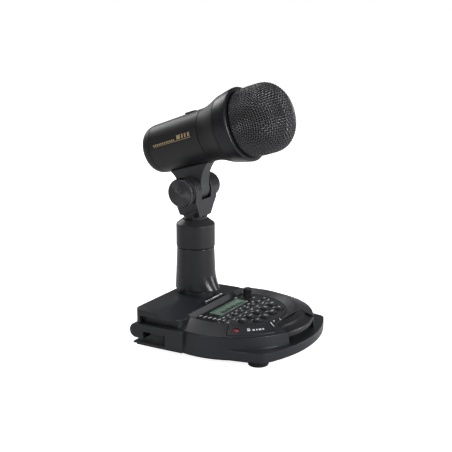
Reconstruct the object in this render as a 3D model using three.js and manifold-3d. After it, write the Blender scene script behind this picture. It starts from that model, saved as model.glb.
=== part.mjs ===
// A desk microphone for a radio station: a microphone head that tilts and swivels on a column,
// over a round control base with a display, keys, a knob, a lock key and a transmit bar.
// Millimetres. +Z is up, -Y is the front, where the user sits, and X runs to the user's right.
// Every piece is drawn with the middle of the round base at X = Y = 0 and the desk at Z = 0.
// The last lines move the whole model so that its origin is the middle of its footprint.
import * as THREE from "three";
import { mergeVertices } from "three/addons/utils/BufferGeometryUtils.js";
import Module from "manifold-3d";

const wasm = await Module();
wasm.setup();

// ---------------------------------------------------------------- clearances
const SEAT = 0.3; // between fixed pieces that rest on each other
const SLIDE = 0.35; // around a key, bar or knob that moves in an opening
const RUN = 0.3; // around a shaft that turns in a bore
const OVERLAP = 1; // how far shapes that are joined or cut run past each other

// ---------------------------------------------------------------- facets round a full turn
const FACETS_BASE = 72;
const FACETS = 36;
const FACETS_INSIDE = 24;
const FACETS_SMALL = 16;
const FACETS_KEY = 12;
const ARC_STEPS = 14; // along each curve of an outline

// ---------------------------------------------------------------- base
const FOOT_RADIUS = 10;
const FOOT_HEIGHT = 4.5;
const FOOT_X = 54;
const FOOT_FRONT = 55;
const FOOT_REAR = 56;
const FOOT_REAR_RIGHT = 38; // how far right the rear right foot is
const PLATE_THICKNESS = 1.6;
const PLATE_INSET = 2.5;
const RIM_RADIUS = 77.5; // upper edge of the round base
const SKIRT_RADIUS = 80; // its lower edge
const CASE_HEIGHT = 20.8;
const CASE_WALL = 2.6;
const CASE_FLOOR = 2.2;
const CHIN_HALF = 66; // half width of the front ledge, between its corners
const CHIN_FRONT = 66.5; // how far forward the corners are
const CHIN_APEX = 82.5; // how far forward the middle is
const CHIN_HEIGHT = 9;
const CHIN_SIDE = 24.6; // degrees forward of the X axis, where its sides leave the round base
const CHIN_ROUND = 0.14; // share of each side that the rounded corner takes
const RAIL_HALF = 80;
const BLOCK_RIGHT = 52; // the rear of the base stops short on the right
const RAIL_WIDTH = 14;
const RAIL_FRONT = 14;
const RAIL_UNDERCUT = 3.6; // gap between the floor and the rails' round rear ends
const RAIL_REAR = 68.7; // centre of the rails' round rear ends
const FLOOR_REAR = 72;
const BAY_FRONT = 46; // wall of the connector bay between the rails
const WINDOW_FRONT = 35;
const WINDOW_REAR = 60;
const WINDOW_HEIGHT = 11;
const HOUSING_HALF = 79;
const HOUSING_REAR = 70.8;
const HOUSING_FRONT = 24;
const HOUSING_HEIGHT = 15.2;
const HOUSING_CORNER = 7;
const HOUSING_SWEEP = 16; // how far back the rounded front corners reach
const HOUSING_ROOF = 4;
const SHOULDER_DROP = 1.4;
const SHOULDER_WIDTH = 8;
const ROOF_EDGE = 31; // right of this the housing's top falls away
const ROOF_FALL = 0.36; // down for each millimetre to the right
const SLOPE_REAR = 45; // the housing's top is level behind this and falls in front of it
const SLOPE_DROP = 6.4;
const POCKET_DEPTH = 6; // grip pockets in the housing's sides
const POCKET_REAR = 64;
const POCKET_HEIGHT = 7.6;

// ---------------------------------------------------------------- control panel
const RIDGE_RADIUS = 59; // the ridge round the sunk panel
const RIDGE_HEIGHT = 8; // above the rim
const PANEL_RADIUS = 50.5;
const PANEL_DEPTH = 4.4; // below the ridge
const PANEL_THICKNESS = 2;
const PANEL_REAR = 21; // its straight rear edge
const PANEL_LIP = 1.1;
const LCD_X = 2.5;
const LCD_Y = 10.4;
const LCD_WIDTH = 57;
const LCD_DEPTH = 18;
const WINDOW_LIP = 1.5;
const BOARD_THICKNESS = 1.6;
const BOARD_RADIUS = 46;
const KEY_TRAVEL = 0.8;
const KEY_FLANGE = 0.8;
const KEY_PITCH = 15;
const ROUND_KEY_RADIUS = 4.7;
const ROUND_KEY_PROUD = 2;
const ROUND_ROWS = [
  { y: -24.5, x: [-2, -1, 0, 1, 2] },
  { y: -37, x: [-1.5, -0.5, 0.5, 1.5] },
];
const SMALL_KEYS = 8;
const SMALL_PITCH = 11.8;
const SMALL_Y = -9.5;
const SMALL_WIDTH = 8;
const SMALL_DEPTH = 5;
const SMALL_PROUD = 1.4;
const ENCODER_X = 41.2;
const ENCODER_Y = 10.5;
const ENCODER_RADIUS = 4.4;
const ENCODER_HEIGHT = 9;
const ENCODER_SHAFT = 2;

// ---------------------------------------------------------------- transmit bar and lock key
const BAR_HALF = 26;
const BAR_INNER = 62;
const BAR_THICKNESS = 5.2;
const BAR_POCKET = 59.5; // back wall of the bar's pocket, from the middle of the base
const BAR_HUB = 2.4; // half the size of the block that turns on the pin
const BAR_RELIEF = 9; // degrees that its rear face leans forward below the pin, to press it
const HUB_BACK = 3.2; // from the back wall to the pin
const HUB_DOWN = 4.4;
const SCOOP_DEPTH = 1.8; // of the finger groove along the bar
const PIN_RADIUS = 1.2;
const LOCK_INNER = 61;
const LOCK_OUTER = 74.5;
const LOCK_FROM = 203; // degrees round the base
const LOCK_TO = 240;
const LOCK_THICKNESS = 2.4;
const LOCK_TRAVEL = 1.2;
const LENS_ANGLE = 209.5;
const LENS_RADIUS = 2.6;
const LENS_SEAT = 1.4;
const LENS_PROUD = 0.9;

// ---------------------------------------------------------------- badge and rear connectors
const BADGE_HALF = 20;
const BADGE_DEPTH = 3.6;
const BADGE_Y = 26.6;
const BADGE_PROUD = 1.6;
const BADGE_SEAT = 0.6;
const SOCKET_WIDTH = 15;
const SOCKET_HEIGHT = 14;
const SOCKET_DEPTH = 14;
const SOCKET_WALL = 2;
const SOCKET_LEVEL = 8.4; // above the floor of the case
const PLUG_HALF = 5.9; // half the width of the opening for the plug
const PLUG_BELOW = 4;
const PLUG_ABOVE = 3;
const SOCKETS = [
  { name: "radio_socket_left", x: -42 },
  { name: "radio_socket_right", x: -20 },
];
const JACKS = [
  { name: "phones_socket", x: 12, radius: 4.6, bore: 1.8 },
  { name: "power_socket", x: 40, radius: 6, bore: 3 },
];

// ---------------------------------------------------------------- stand
const COLUMN_Y = 48.3;
const PLINTH_RADIUS = 19.2;
const PLINTH_HEIGHT = 11;
const PLINTH_PROUD = 4;
const COLUMN_HEIGHT = 43.5;
const COLUMN_FOOT = 20.6;
const COLUMN_HEAD = 18;
const COLUMN_WAIST = 0.4; // share of the height where the taper gets steeper
const TOE_REACH = 5.5; // how far the column's foot flares towards the front
const TOE_HEIGHT = 17;
const TOE_FOOT = 16.5;
const TOE_HEAD = 12;
const COLLAR_RADIUS = 19;
const COLLAR_HEIGHT = 24;
const COLLAR_CHAMFER = 4.5;
const STEM_RADIUS = 12;
const STEM_DEPTH = 34; // how far the stem goes down into the column
const NECK_HEIGHT = 7;
const PIVOT_HEIGHT = 31; // above the collar
const EAR_RADIUS = 13.6;
const EAR_THICKNESS = 11.5;
const TONGUE_HALF = 8;
const SLOT_CLEARANCE = 0.5;
const SLOT_DEPTH = 2; // room for the bracket's edges below the ears as the head tilts
const BOLT_RADIUS = 3;
const KNOB_RADIUS = 14.5;
const KNOB_THICKNESS = 8.6;
const KNOB_TEETH = 36;
const CAP_RADIUS = 12.8;
const CAP_THICKNESS = 10.5;
const CAP_BEVEL = 3;
const WASHER_THICKNESS = 0.6;
const WASHER_RADIUS = 9;
const BOLT_GRIP = 4.6; // how far the bolt goes into the knob
const CAP_GRIP = 6; // and into the cap

// ---------------------------------------------------------------- microphone, along its own axis
const MIC_TILT = 18.6; // degrees above level
const MIC_OFFSET = 47.6; // from the pivot to the microphone's axis
const PIVOT_STATION = -16; // the pivot's place along that axis; the joint of barrel and head is at 21
const TAIL_END = -53;
const TAIL_JOINT = -40.5;
const HEAD_JOINT = 21;
const BAND_JOINT = 45;
const LIP_END = 61.5;
const GRILLE_END = 109;
const TAIL_RADIUS = 24.9;
const NECKING_RADIUS = 26.8;
const BAND_RADIUS = 34.3;
const LIP_RADIUS = 37.1;
const GRILLE_RADIUS = 34;
const BARREL_WALL = 2;
const TAIL_WALL = 4.9;
const BAND_WALL = 4;
const GRILLE_WALL = 1.4;
const FOAM_WALL = 4;
const FAN_FRONT = 13; // where the bracket's fan meets the barrel
const FAN_REAR = -34;
const FAN_DROP = 25.6;
const LARGE_SIDE = 8; // the large capsule sits above the axis and the small one below it
const LARGE_CAPSULE = 9;
const SMALL_SIDE = -13;
const SMALL_CAPSULE = 5;
const HOLDER_RADIUS = 21;

// ---------------------------------------------------------------- levels, worked out
const plateZ = FOOT_HEIGHT + SEAT;
const caseZ = plateZ + PLATE_THICKNESS + SEAT;
const rimZ = caseZ + CASE_HEIGHT;
const coverZ = rimZ + SEAT;
const floorZ = caseZ + CASE_FLOOR;
const ridgeZ = rimZ + RIDGE_HEIGHT;
const housingZ = coverZ + HOUSING_HEIGHT;
const panelZ = ridgeZ - PANEL_DEPTH;
const panelUnder = panelZ - PANEL_THICKNESS;
const flangeZ = panelUnder - SEAT - KEY_FLANGE;
const boardZ = flangeZ - KEY_TRAVEL - 2 * SEAT - BOARD_THICKNESS;
const plinthZ = housingZ + PLINTH_PROUD - PLINTH_HEIGHT;
const columnZ = housingZ + PLINTH_PROUD + SEAT;
const collarZ = columnZ + COLUMN_HEIGHT + SEAT;
const collarTop = collarZ + COLLAR_HEIGHT + COLLAR_CHAMFER;
const pivotZ = collarTop + PIVOT_HEIGHT;
const earOuter = TONGUE_HALF + SLOT_CLEARANCE + EAR_THICKNESS;
const socketZ = floorZ + SOCKET_LEVEL;
const degrees = Math.PI / 180;
// The height of the cone between the rim and the ridge.
const coneZ = (radius) =>
  ridgeZ - (RIDGE_HEIGHT * (radius - RIDGE_RADIUS)) / (RIM_RADIUS - RIDGE_RADIUS);

// ---------------------------------------------------------------- materials
const paint = (color, roughness, metalness = 0) =>
  new THREE.MeshStandardMaterial({ color, roughness, metalness });
const shell = paint(0x2b2d33, 0.5);
const dark = paint(0x1b1c20, 0.45);
const gloss = paint(0x0c0d10, 0.15);
const rubber = paint(0x141414, 0.85);
const keycap = paint(0x2a2c31, 0.4);
const castMetal = paint(0x303237, 0.45, 0.3);
const bracketMetal = paint(0x55585d, 0.5, 0.4);
const turnedMetal = paint(0x4a4c50, 0.3, 0.9);
const steel = paint(0x9a9c9f, 0.35, 1);
const barrelMetal = paint(0x232427, 0.4, 0.3);
const meshMetal = paint(0x18191b, 0.4, 0.7);
const foam = paint(0x0e0e0e, 0.95);
const circuit = paint(0x1f5a3a, 0.6);
const glass = paint(0x9fb4aa, 0.1);
const liquidCrystal = paint(0x72877a, 0.3);
const redLens = paint(0xb02a24, 0.2);

// ---------------------------------------------------------------- shape helpers
// A closed solid from a three.js geometry, with its faces pointing out.
function solid(geometry) {
  const bare = geometry.index ? geometry.toNonIndexed() : geometry.clone();
  for (const name of Object.keys(bare.attributes)) {
    if (name !== "position") bare.deleteAttribute(name);
  }
  const merged = mergeVertices(bare, 1e-4);
  const corners = merged.index.array;
  const faces = [];
  for (let i = 0; i < corners.length; i += 3) {
    const [a, b, c] = corners.subarray(i, i + 3);
    if (a !== b && b !== c && c !== a) faces.push(a, b, c);
  }
  const make = (triVerts) =>
    new wasm.Manifold(
      new wasm.Mesh({
        numProp: 3,
        vertProperties: merged.attributes.position.array,
        triVerts: new Uint32Array(triVerts),
      }),
    );
  const made = make(faces);
  return made.volume() > 0 ? made : make(faces.toReversed());
}

// A named mesh with flat faces from a solid.
function part(name, shape, material) {
  const { numProp, vertProperties, triVerts } = shape.getMesh();
  const position = new Float32Array((vertProperties.length / numProp) * 3);
  for (let i = 0; i * 3 < position.length; i += 1) {
    position.set(vertProperties.subarray(i * numProp, i * numProp + 3), i * 3);
  }
  const geometry = new THREE.BufferGeometry();
  geometry.setAttribute("position", new THREE.BufferAttribute(position, 3));
  geometry.setIndex(new THREE.BufferAttribute(new Uint32Array(triVerts), 1));
  const mesh = new THREE.Mesh(geometry, material);
  mesh.name = name;
  return mesh;
}

const box = (x0, x1, y0, y1, z0, z1) =>
  solid(
    new THREE.BoxGeometry(x1 - x0, y1 - y0, z1 - z0).translate(
      (x0 + x1) / 2,
      (y0 + y1) / 2,
      (z0 + z1) / 2,
    ),
  );

// A body turned about the Z axis from [radius, height] points.
const turned = (points, segments = FACETS) =>
  solid(
    new THREE.LatheGeometry(
      points.map(([radius, height]) => new THREE.Vector2(radius, height)),
      segments,
    ).rotateX(Math.PI / 2),
  );

const rod = (x, y, z0, z1, radius, segments = FACETS) =>
  turned([[0, z0], [radius, z0], [radius, z1], [0, z1]], segments).translate([x, y, 0]);

const tube = (x, y, z0, z1, inner, outer, segments = FACETS) =>
  turned(
    [[inner, z0], [outer, z0], [outer, z1], [inner, z1], [inner, z0]],
    segments,
  ).translate([x, y, 0]);

// A rod along X.
const crossRod = (x0, x1, y, z, radius, segments = FACETS) =>
  rod(0, 0, x0, x1, radius, segments)
    .rotate([0, 90, 0])
    .translate([0, y, z]);

const outline = (points) => new THREE.Shape(points.map(([x, y]) => new THREE.Vector2(x, y)));

// A plan outline raised from z0 to z1.
const raised = (shape, z0, z1, curveSegments = ARC_STEPS) =>
  solid(
    new THREE.ExtrudeGeometry(shape, {
      depth: z1 - z0,
      bevelEnabled: false,
      curveSegments,
    }).translate(0, 0, z0),
  );

// A side outline, drawn as [y, z], made half as thick each side of the middle plane.
const sideways = (shape, half) => raised(shape, -half, half).rotate([90, 0, 90]);

function roundedRectangle(width, depth, corner) {
  const x = width / 2;
  const y = depth / 2;
  const shape = new THREE.Shape();
  shape.moveTo(-x + corner, -y);
  shape.lineTo(x - corner, -y);
  shape.absarc(x - corner, -y + corner, corner, -Math.PI / 2, 0);
  shape.lineTo(x, y - corner);
  shape.absarc(x - corner, y - corner, corner, 0, Math.PI / 2);
  shape.lineTo(-x + corner, y);
  shape.absarc(-x + corner, y - corner, corner, Math.PI / 2, Math.PI);
  shape.lineTo(-x, -y + corner);
  shape.absarc(-x + corner, -y + corner, corner, Math.PI, 1.5 * Math.PI);
  return shape;
}

// ---------------------------------------------------------------- base
// Everything behind the middle of the base, where the rails and the housing take over.
const behind = (y) =>
  box(-SKIRT_RADIUS - OVERLAP, SKIRT_RADIUS + OVERLAP, y, SKIRT_RADIUS + OVERLAP, 0, housingZ);

// The front ledge: its sides run straight off the round base, and its front is a shallow arc.
function chinShape(inset) {
  const radius = SKIRT_RADIUS - inset;
  const side = new THREE.Vector2(radius * Math.cos(CHIN_SIDE * degrees), 0);
  side.y = -radius * Math.sin(CHIN_SIDE * degrees);
  const corner = new THREE.Vector2(CHIN_HALF - inset, inset - CHIN_FRONT);
  const apex = new THREE.Vector2(0, 2 * (inset - CHIN_APEX) - corner.y);
  const start = corner.clone().lerp(side, CHIN_ROUND);
  const end = corner.clone().lerp(apex, CHIN_ROUND / 2);
  const shape = new THREE.Shape();
  shape.moveTo(side.x, 0);
  shape.lineTo(side.x, side.y);
  shape.lineTo(start.x, start.y);
  shape.quadraticCurveTo(corner.x, corner.y, end.x, end.y);
  shape.quadraticCurveTo(apex.x, apex.y, -end.x, end.y);
  shape.quadraticCurveTo(-corner.x, corner.y, -start.x, start.y);
  shape.lineTo(-side.x, side.y);
  shape.lineTo(-side.x, 0);
  return shape;
}

function lowerCase() {
  const bayZ = rimZ + OVERLAP;
  const railInner = RAIL_HALF - RAIL_WIDTH;
  const blockInner = BLOCK_RIGHT - CASE_WALL;
  const outside = RAIL_HALF + OVERLAP;
  const rear = FLOOR_REAR + OVERLAP;
  const endRadius = (rimZ - floorZ - RAIL_UNDERCUT) / 2;
  let shape = turned(
    [[0, caseZ], [SKIRT_RADIUS, caseZ], [RIM_RADIUS, rimZ], [0, rimZ]],
    FACETS_BASE,
  ).subtract(behind(BAY_FRONT));
  shape = shape.add(raised(chinShape(0), caseZ, caseZ + CHIN_HEIGHT));
  shape = shape.add(box(-RAIL_HALF, BLOCK_RIGHT, RAIL_FRONT, RAIL_REAR, caseZ, rimZ));
  shape = shape.add(box(-RAIL_HALF, BLOCK_RIGHT, RAIL_FRONT, FLOOR_REAR, caseZ, floorZ));
  shape = shape.add(crossRod(-RAIL_HALF, BLOCK_RIGHT, RAIL_REAR, rimZ - endRadius, endRadius));
  // The hollow for the electronics, with a wall kept round the transmit bar's pocket.
  const barWall = BAR_HALF + SLIDE + CASE_WALL;
  const hollow = rod(0, 0, floorZ, bayZ, RIM_RADIUS - CASE_WALL, FACETS_BASE)
    .subtract(behind(0))
    .subtract(box(-barWall, barWall, -SKIRT_RADIUS, CASE_WALL - BAR_POCKET, caseZ, bayZ + OVERLAP))
    .add(box(-railInner, blockInner, -OVERLAP, BAY_FRONT - CASE_WALL, floorZ, bayZ));
  // The connector bay is open to the rear and, through a window in the left rail, to the side.
  const bay = box(-railInner, blockInner, BAY_FRONT, rear, floorZ, bayZ);
  const sideWindow = box(
    -outside, 0, WINDOW_FRONT, WINDOW_REAR, floorZ, floorZ + WINDOW_HEIGHT,
  ).subtract(box(-railInner, railInner, 0, BAY_FRONT, caseZ, rimZ));
  const underEnds = box(
    -outside, outside, WINDOW_REAR - OVERLAP, rear, floorZ, rimZ - 2 * endRadius,
  );
  return shape
    .subtract(hollow)
    .subtract(bay)
    .subtract(sideWindow)
    .subtract(underEnds)
    .subtract(barPocket(caseZ + CHIN_HEIGHT))
    .subtract(socketCuts());
}

// The space that the transmit bar moves in, open at the front and top.
const barPocket = (z0) =>
  box(-BAR_HALF - SLIDE, BAR_HALF + SLIDE, -SKIRT_RADIUS - OVERLAP, -BAR_POCKET, z0, ridgeZ);

function bottomPlate() {
  const top = plateZ + PLATE_THICKNESS;
  const half = RAIL_HALF - PLATE_INSET;
  return rod(0, 0, plateZ, top, SKIRT_RADIUS - PLATE_INSET, FACETS_BASE)
    .subtract(behind(BAY_FRONT))
    .add(raised(chinShape(PLATE_INSET), plateZ, top))
    .add(box(-half, BLOCK_RIGHT - PLATE_INSET, RAIL_FRONT + PLATE_INSET,
      FLOOR_REAR - PLATE_INSET, plateZ, top));
}

// The rear housing's plan: wide round corners in front, small ones behind.
function housingShape() {
  const shape = new THREE.Shape();
  const x = HOUSING_HALF;
  const front = HOUSING_FRONT - 4;
  const y = HOUSING_REAR;
  const c = HOUSING_CORNER;
  shape.moveTo(-x, front + HOUSING_SWEEP);
  shape.quadraticCurveTo(-x, front, -RIDGE_RADIUS, front);
  shape.lineTo(RIDGE_RADIUS, front);
  shape.quadraticCurveTo(x, front, x, front + HOUSING_SWEEP);
  shape.lineTo(x, y - c);
  shape.absarc(x - c, y - c, c, 0, Math.PI / 2);
  shape.lineTo(-x + c, y);
  shape.absarc(-x + c, y - c, c, Math.PI / 2, Math.PI);
  return shape;
}

// Height of the housing's top where it falls away to the right.
const roofZ = (x) => housingZ - ROOF_FALL * (x - ROOF_EDGE);

// The raised rear housing: a plan outline, trimmed by its side view and by its section.
function housingBlock() {
  const slopeZ = housingZ - SLOPE_DROP;
  const slope = SLOPE_DROP / (SLOPE_REAR - HOUSING_FRONT);
  const side = outline([
    [0, coverZ],
    [HOUSING_REAR + OVERLAP, coverZ],
    [HOUSING_REAR + OVERLAP, housingZ - 1],
    [HOUSING_REAR - 1.5, housingZ],
    [SLOPE_REAR, housingZ],
    [0, slopeZ - slope * HOUSING_FRONT],
  ]);
  const shoulderZ = housingZ - SHOULDER_DROP;
  const section = outline([
    [-HOUSING_HALF - OVERLAP, coverZ],
    [-HOUSING_HALF - OVERLAP, shoulderZ],
    [-HOUSING_HALF, shoulderZ],
    [SHOULDER_WIDTH - HOUSING_HALF, housingZ],
    [ROOF_EDGE, housingZ],
    [BLOCK_RIGHT, roofZ(BLOCK_RIGHT)],
    [BLOCK_RIGHT, coverZ],
  ]);
  const across = raised(section, -HOUSING_REAR - 2 * OVERLAP, 0).rotate([90, 0, 0]);
  return raised(housingShape(), coverZ, housingZ + OVERLAP)
    .intersect(sideways(side, HOUSING_HALF + 2 * OVERLAP))
    .intersect(across);
}

// The dish: a sloped wall down to the panel, with a bevel under the housing's front edge.
function dish() {
  const above = housingZ + OVERLAP;
  const foot = PANEL_RADIUS + SEAT;
  const run = RIDGE_RADIUS - PANEL_RADIUS;
  const top = RIDGE_RADIUS + (run / PANEL_DEPTH) * (above - ridgeZ);
  const bowl = turned([
    [0, panelUnder - SEAT], [foot, panelUnder - SEAT], [foot, panelZ],
    [RIDGE_RADIUS, ridgeZ], [top, above], [0, above],
  ], FACETS_BASE);
  const bevelFoot = PANEL_REAR + SEAT;
  const rear = outline([
    [bevelFoot, coverZ - OVERLAP], [bevelFoot, panelZ], [HOUSING_FRONT, housingZ - SLOPE_DROP],
    [HOUSING_FRONT + 4, above], [RAIL_HALF, above + OVERLAP], [RAIL_HALF, coverZ - OVERLAP],
  ]);
  return bowl.subtract(sideways(rear, RAIL_HALF));
}

// The cover's underside: a shell under the cone, an opening under the panel that leaves a lip
// for it to rest on, and a hollow in the housing.
function coverHollow() {
  const lipZ = panelUnder - SEAT - PANEL_LIP;
  const bottom = coverZ - OVERLAP;
  const wallRadius = RIM_RADIUS - CASE_WALL;
  const lipRear = PANEL_REAR - PANEL_LIP;
  const hollowRear = BAY_FRONT - CASE_WALL;
  const wide = HOUSING_HALF - POCKET_DEPTH - CASE_WALL;
  const hollowTop = housingZ - SLOPE_DROP - HOUSING_ROOF;
  const narrow = RIDGE_RADIUS - 10;
  const shell = turned([
    [0, bottom], [wallRadius, bottom], [wallRadius, coverZ], [RIDGE_RADIUS - 1, panelZ - 1],
    [PANEL_RADIUS + PANEL_LIP + CASE_WALL / 2, lipZ], [0, lipZ],
  ], FACETS_BASE);
  return shell
    .add(rod(0, 0, bottom, panelZ, PANEL_RADIUS - PANEL_LIP, FACETS_BASE))
    .subtract(behind(lipRear))
    .add(box(-narrow, narrow, lipRear - OVERLAP, hollowRear, bottom, lipZ))
    .add(box(-wide, ROOF_EDGE, SLOPE_REAR - 10, hollowRear, bottom, hollowTop))
    .subtract(plinthRod(housingZ, CASE_WALL));
}

function topCover() {
  return turned(
    [[0, coverZ], [RIM_RADIUS, coverZ], [RIDGE_RADIUS, ridgeZ], [0, ridgeZ]],
    FACETS_BASE,
  )
    .subtract(behind(BAY_FRONT))
    .add(housingBlock())
    .subtract(dish())
    .subtract(coverHollow())
    .subtract(fallAway())
    .subtract(pocket())
    .subtract(plinthRod(housingZ + OVERLAP, 0, plinthZ - SEAT))
    .subtract(barPocket(coverZ - OVERLAP))
    .subtract(lockOpening())
    .subtract(badgeBlock(SEAT, -BADGE_SEAT - SEAT, BADGE_PROUD + OVERLAP));
}

// What is taken off behind the panel so that the cone too stays under the falling roof.
function fallAway() {
  const ledgeZ = coverZ + 0.8;
  const ledgeX = ROOF_EDGE + (housingZ - ledgeZ) / ROOF_FALL;
  const edge = Math.max(RIM_RADIUS, ledgeX) + OVERLAP;
  const section = outline([
    [ROOF_EDGE, housingZ], [ROOF_EDGE, housingZ + 2 * OVERLAP], [edge, housingZ + 2 * OVERLAP],
    [edge, ledgeZ], [ledgeX, ledgeZ],
  ]);
  return raised(section, -HOUSING_REAR - OVERLAP, -PANEL_REAR - 1).rotate([90, 0, 0]);
}

// The grip pocket under the left edge of the housing, with the cone running on inside it.
function pocket() {
  const cone = turned(
    [[0, 0], [RIM_RADIUS, 0], [RIM_RADIUS, coverZ], [RIDGE_RADIUS, ridgeZ], [0, ridgeZ]],
    FACETS_BASE,
  );
  return box(-HOUSING_HALF - OVERLAP, POCKET_DEPTH - HOUSING_HALF, HOUSING_FRONT - 6, POCKET_REAR,
    coverZ - OVERLAP, coverZ + POCKET_HEIGHT).subtract(cone);
}

const plinthRod = (top, grow, bottom = coverZ - 2 * OVERLAP) =>
  rod(0, COLUMN_Y, bottom, top, PLINTH_RADIUS + SEAT + grow);

const badgeSlope = Math.atan2(SLOPE_DROP, SLOPE_REAR - HOUSING_FRONT) / degrees;
const badgeZ =
  housingZ - SLOPE_DROP + Math.tan(badgeSlope * degrees) * (BADGE_Y - HOUSING_FRONT);
const badgeBlock = (grow, z0, z1) =>
  raised(roundedRectangle(2 * (BADGE_HALF + grow), BADGE_DEPTH + 2 * grow, 1 + grow), z0, z1, 4)
    .rotate([badgeSlope, 0, 0])
    .translate([0, BADGE_Y, badgeZ]);

// ---------------------------------------------------------------- control panel
const smallKeyX = (i) => (i - (SMALL_KEYS - 1) / 2) * SMALL_PITCH;
const roundKeyPlaces = ROUND_ROWS.flatMap((row) =>
  row.x.map((step) => ({ x: step * KEY_PITCH, y: row.y })),
);

function controlPanel() {
  let shape = rod(0, 0, panelUnder, panelZ, PANEL_RADIUS, FACETS_BASE).subtract(
    box(-RAIL_HALF, RAIL_HALF, PANEL_REAR, RAIL_HALF, 0, housingZ),
  );
  const cut = (piece) => {
    shape = shape.subtract(piece);
  };
  const w = LCD_WIDTH / 2;
  const d = LCD_DEPTH / 2;
  cut(box(LCD_X - w + WINDOW_LIP, LCD_X + w - WINDOW_LIP, LCD_Y - d + WINDOW_LIP,
    LCD_Y + d - WINDOW_LIP, 0, housingZ));
  cut(box(LCD_X - w - SEAT, LCD_X + w + SEAT, LCD_Y - d - SEAT, LCD_Y + d + SEAT,
    panelZ - 0.8 - SEAT, housingZ));
  for (const { x, y } of roundKeyPlaces) {
    cut(rod(x, y, 0, housingZ, ROUND_KEY_RADIUS + SLIDE, FACETS_KEY));
  }
  for (let i = 0; i < SMALL_KEYS; i += 1) {
    const x = smallKeyX(i);
    cut(box(x - SMALL_WIDTH / 2 - SLIDE, x + SMALL_WIDTH / 2 + SLIDE,
      SMALL_Y - SMALL_DEPTH / 2 - SLIDE, SMALL_Y + SMALL_DEPTH / 2 + SLIDE, 0, housingZ));
  }
  cut(rod(ENCODER_X, ENCODER_Y, 0, housingZ, ENCODER_SHAFT + RUN, FACETS_SMALL));
  return shape;
}

const displayWindow = () =>
  raised(roundedRectangle(LCD_WIDTH, LCD_DEPTH, 1), panelZ - 0.8, panelZ - 0.1, 4)
    .translate([LCD_X, LCD_Y, 0]);

const displayModule = () =>
  box(LCD_X - LCD_WIDTH / 2, LCD_X + LCD_WIDTH / 2, LCD_Y - LCD_DEPTH / 2,
    LCD_Y + LCD_DEPTH / 2, boardZ + BOARD_THICKNESS + SEAT, panelUnder - SEAT);

function controlBoard() {
  return rod(0, 0, boardZ, boardZ + BOARD_THICKNESS, BOARD_RADIUS).subtract(
    box(-RAIL_HALF, RAIL_HALF, PANEL_REAR - PANEL_LIP - OVERLAP, RAIL_HALF, 0, housingZ),
  );
}

function roundKey({ x, y }) {
  const r = ROUND_KEY_RADIUS;
  const top = panelZ + ROUND_KEY_PROUD;
  return turned([
    [0, flangeZ], [r + 0.9, flangeZ], [r + 0.9, flangeZ + KEY_FLANGE], [r, flangeZ + KEY_FLANGE],
    [r, top - 0.8], [r - 0.8, top], [0, top],
  ], FACETS_KEY).translate([x, y, 0]);
}

function smallKey(i) {
  const x = smallKeyX(i);
  const w = SMALL_WIDTH / 2;
  const d = SMALL_DEPTH / 2;
  const stem = box(x - w, x + w, SMALL_Y - d, SMALL_Y + d, flangeZ, panelZ + SMALL_PROUD);
  return stem.add(box(x - w - 0.8, x + w + 0.8, SMALL_Y - d - 0.8, SMALL_Y + d + 0.8,
    flangeZ, flangeZ + KEY_FLANGE));
}

const encoderKnob = () =>
  turned([
    [0, panelUnder - 1], [ENCODER_SHAFT, panelUnder - 1], [ENCODER_SHAFT, panelZ + SEAT],
    [ENCODER_RADIUS, panelZ + SEAT], [ENCODER_RADIUS, panelZ + SEAT + ENCODER_HEIGHT - 1],
    [ENCODER_RADIUS - 1, panelZ + SEAT + ENCODER_HEIGHT], [0, panelZ + SEAT + ENCODER_HEIGHT],
  ], FACETS_SMALL).translate([ENCODER_X, ENCODER_Y, 0]);

// The encoder's body holds the knob's shaft in a blind hole.
const encoderBody = () =>
  box(ENCODER_X - 3, ENCODER_X + 3, ENCODER_Y - 3, ENCODER_Y + 3,
    boardZ + BOARD_THICKNESS + SEAT, panelUnder - SEAT).subtract(
    rod(ENCODER_X, ENCODER_Y, panelUnder - 1 - RUN, housingZ, ENCODER_SHAFT + RUN, FACETS_SMALL),
  );

// ---------------------------------------------------------------- transmit bar and lock key
const barUnder = coneZ(RIM_RADIUS) - 0.5 - BAR_THICKNESS;
const barPivot = { y: -BAR_POCKET - HUB_BACK, z: coneZ(BAR_INNER) - HUB_DOWN };

// The bar follows the cone and has a finger groove along its outer edge.
function transmitBar() {
  const outer = RIM_RADIUS - 0.2;
  const groove = outer - 2.6;
  const hubTop = barPivot.z + 1;
  const shape = turned([
    [BAR_INNER, coneZ(BAR_INNER) - 0.4],
    [BAR_INNER + 6, coneZ(BAR_INNER + 6) - 0.2],
    [BAR_INNER + 9, coneZ(BAR_INNER + 9) - SCOOP_DEPTH],
    [groove, coneZ(groove) - SCOOP_DEPTH + 0.2],
    [outer, coneZ(outer) - 0.3],
    [outer + 0.4, coneZ(outer) - 1.3],
    [outer, barUnder],
    [BAR_INNER, barUnder + 2],
    [BAR_INNER, coneZ(BAR_INNER) - 0.4],
  ], FACETS_BASE);
  const back = -BAR_POCKET - SLIDE;
  const lean = barPivot.z * Math.tan(BAR_RELIEF * degrees);
  const side = outline([
    [-SKIRT_RADIUS, 0], [back - lean, 0], [back, barPivot.z], [back, housingZ],
    [-SKIRT_RADIUS, housingZ],
  ]);
  return shape
    .intersect(sideways(side, BAR_HALF))
    .add(box(-BAR_HALF, BAR_HALF, barPivot.y - BAR_HUB, barPivot.y + BAR_HUB,
      barPivot.z - BAR_HUB, hubTop))
    .subtract(crossRod(-SKIRT_RADIUS, SKIRT_RADIUS, barPivot.y, barPivot.z, PIN_RADIUS + RUN,
      FACETS_SMALL));
}

function barPin() {
  const half = BAR_HALF + SLIDE / 2;
  return crossRod(-half, half, barPivot.y, barPivot.z, PIN_RADIUS, FACETS_SMALL);
}

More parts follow.
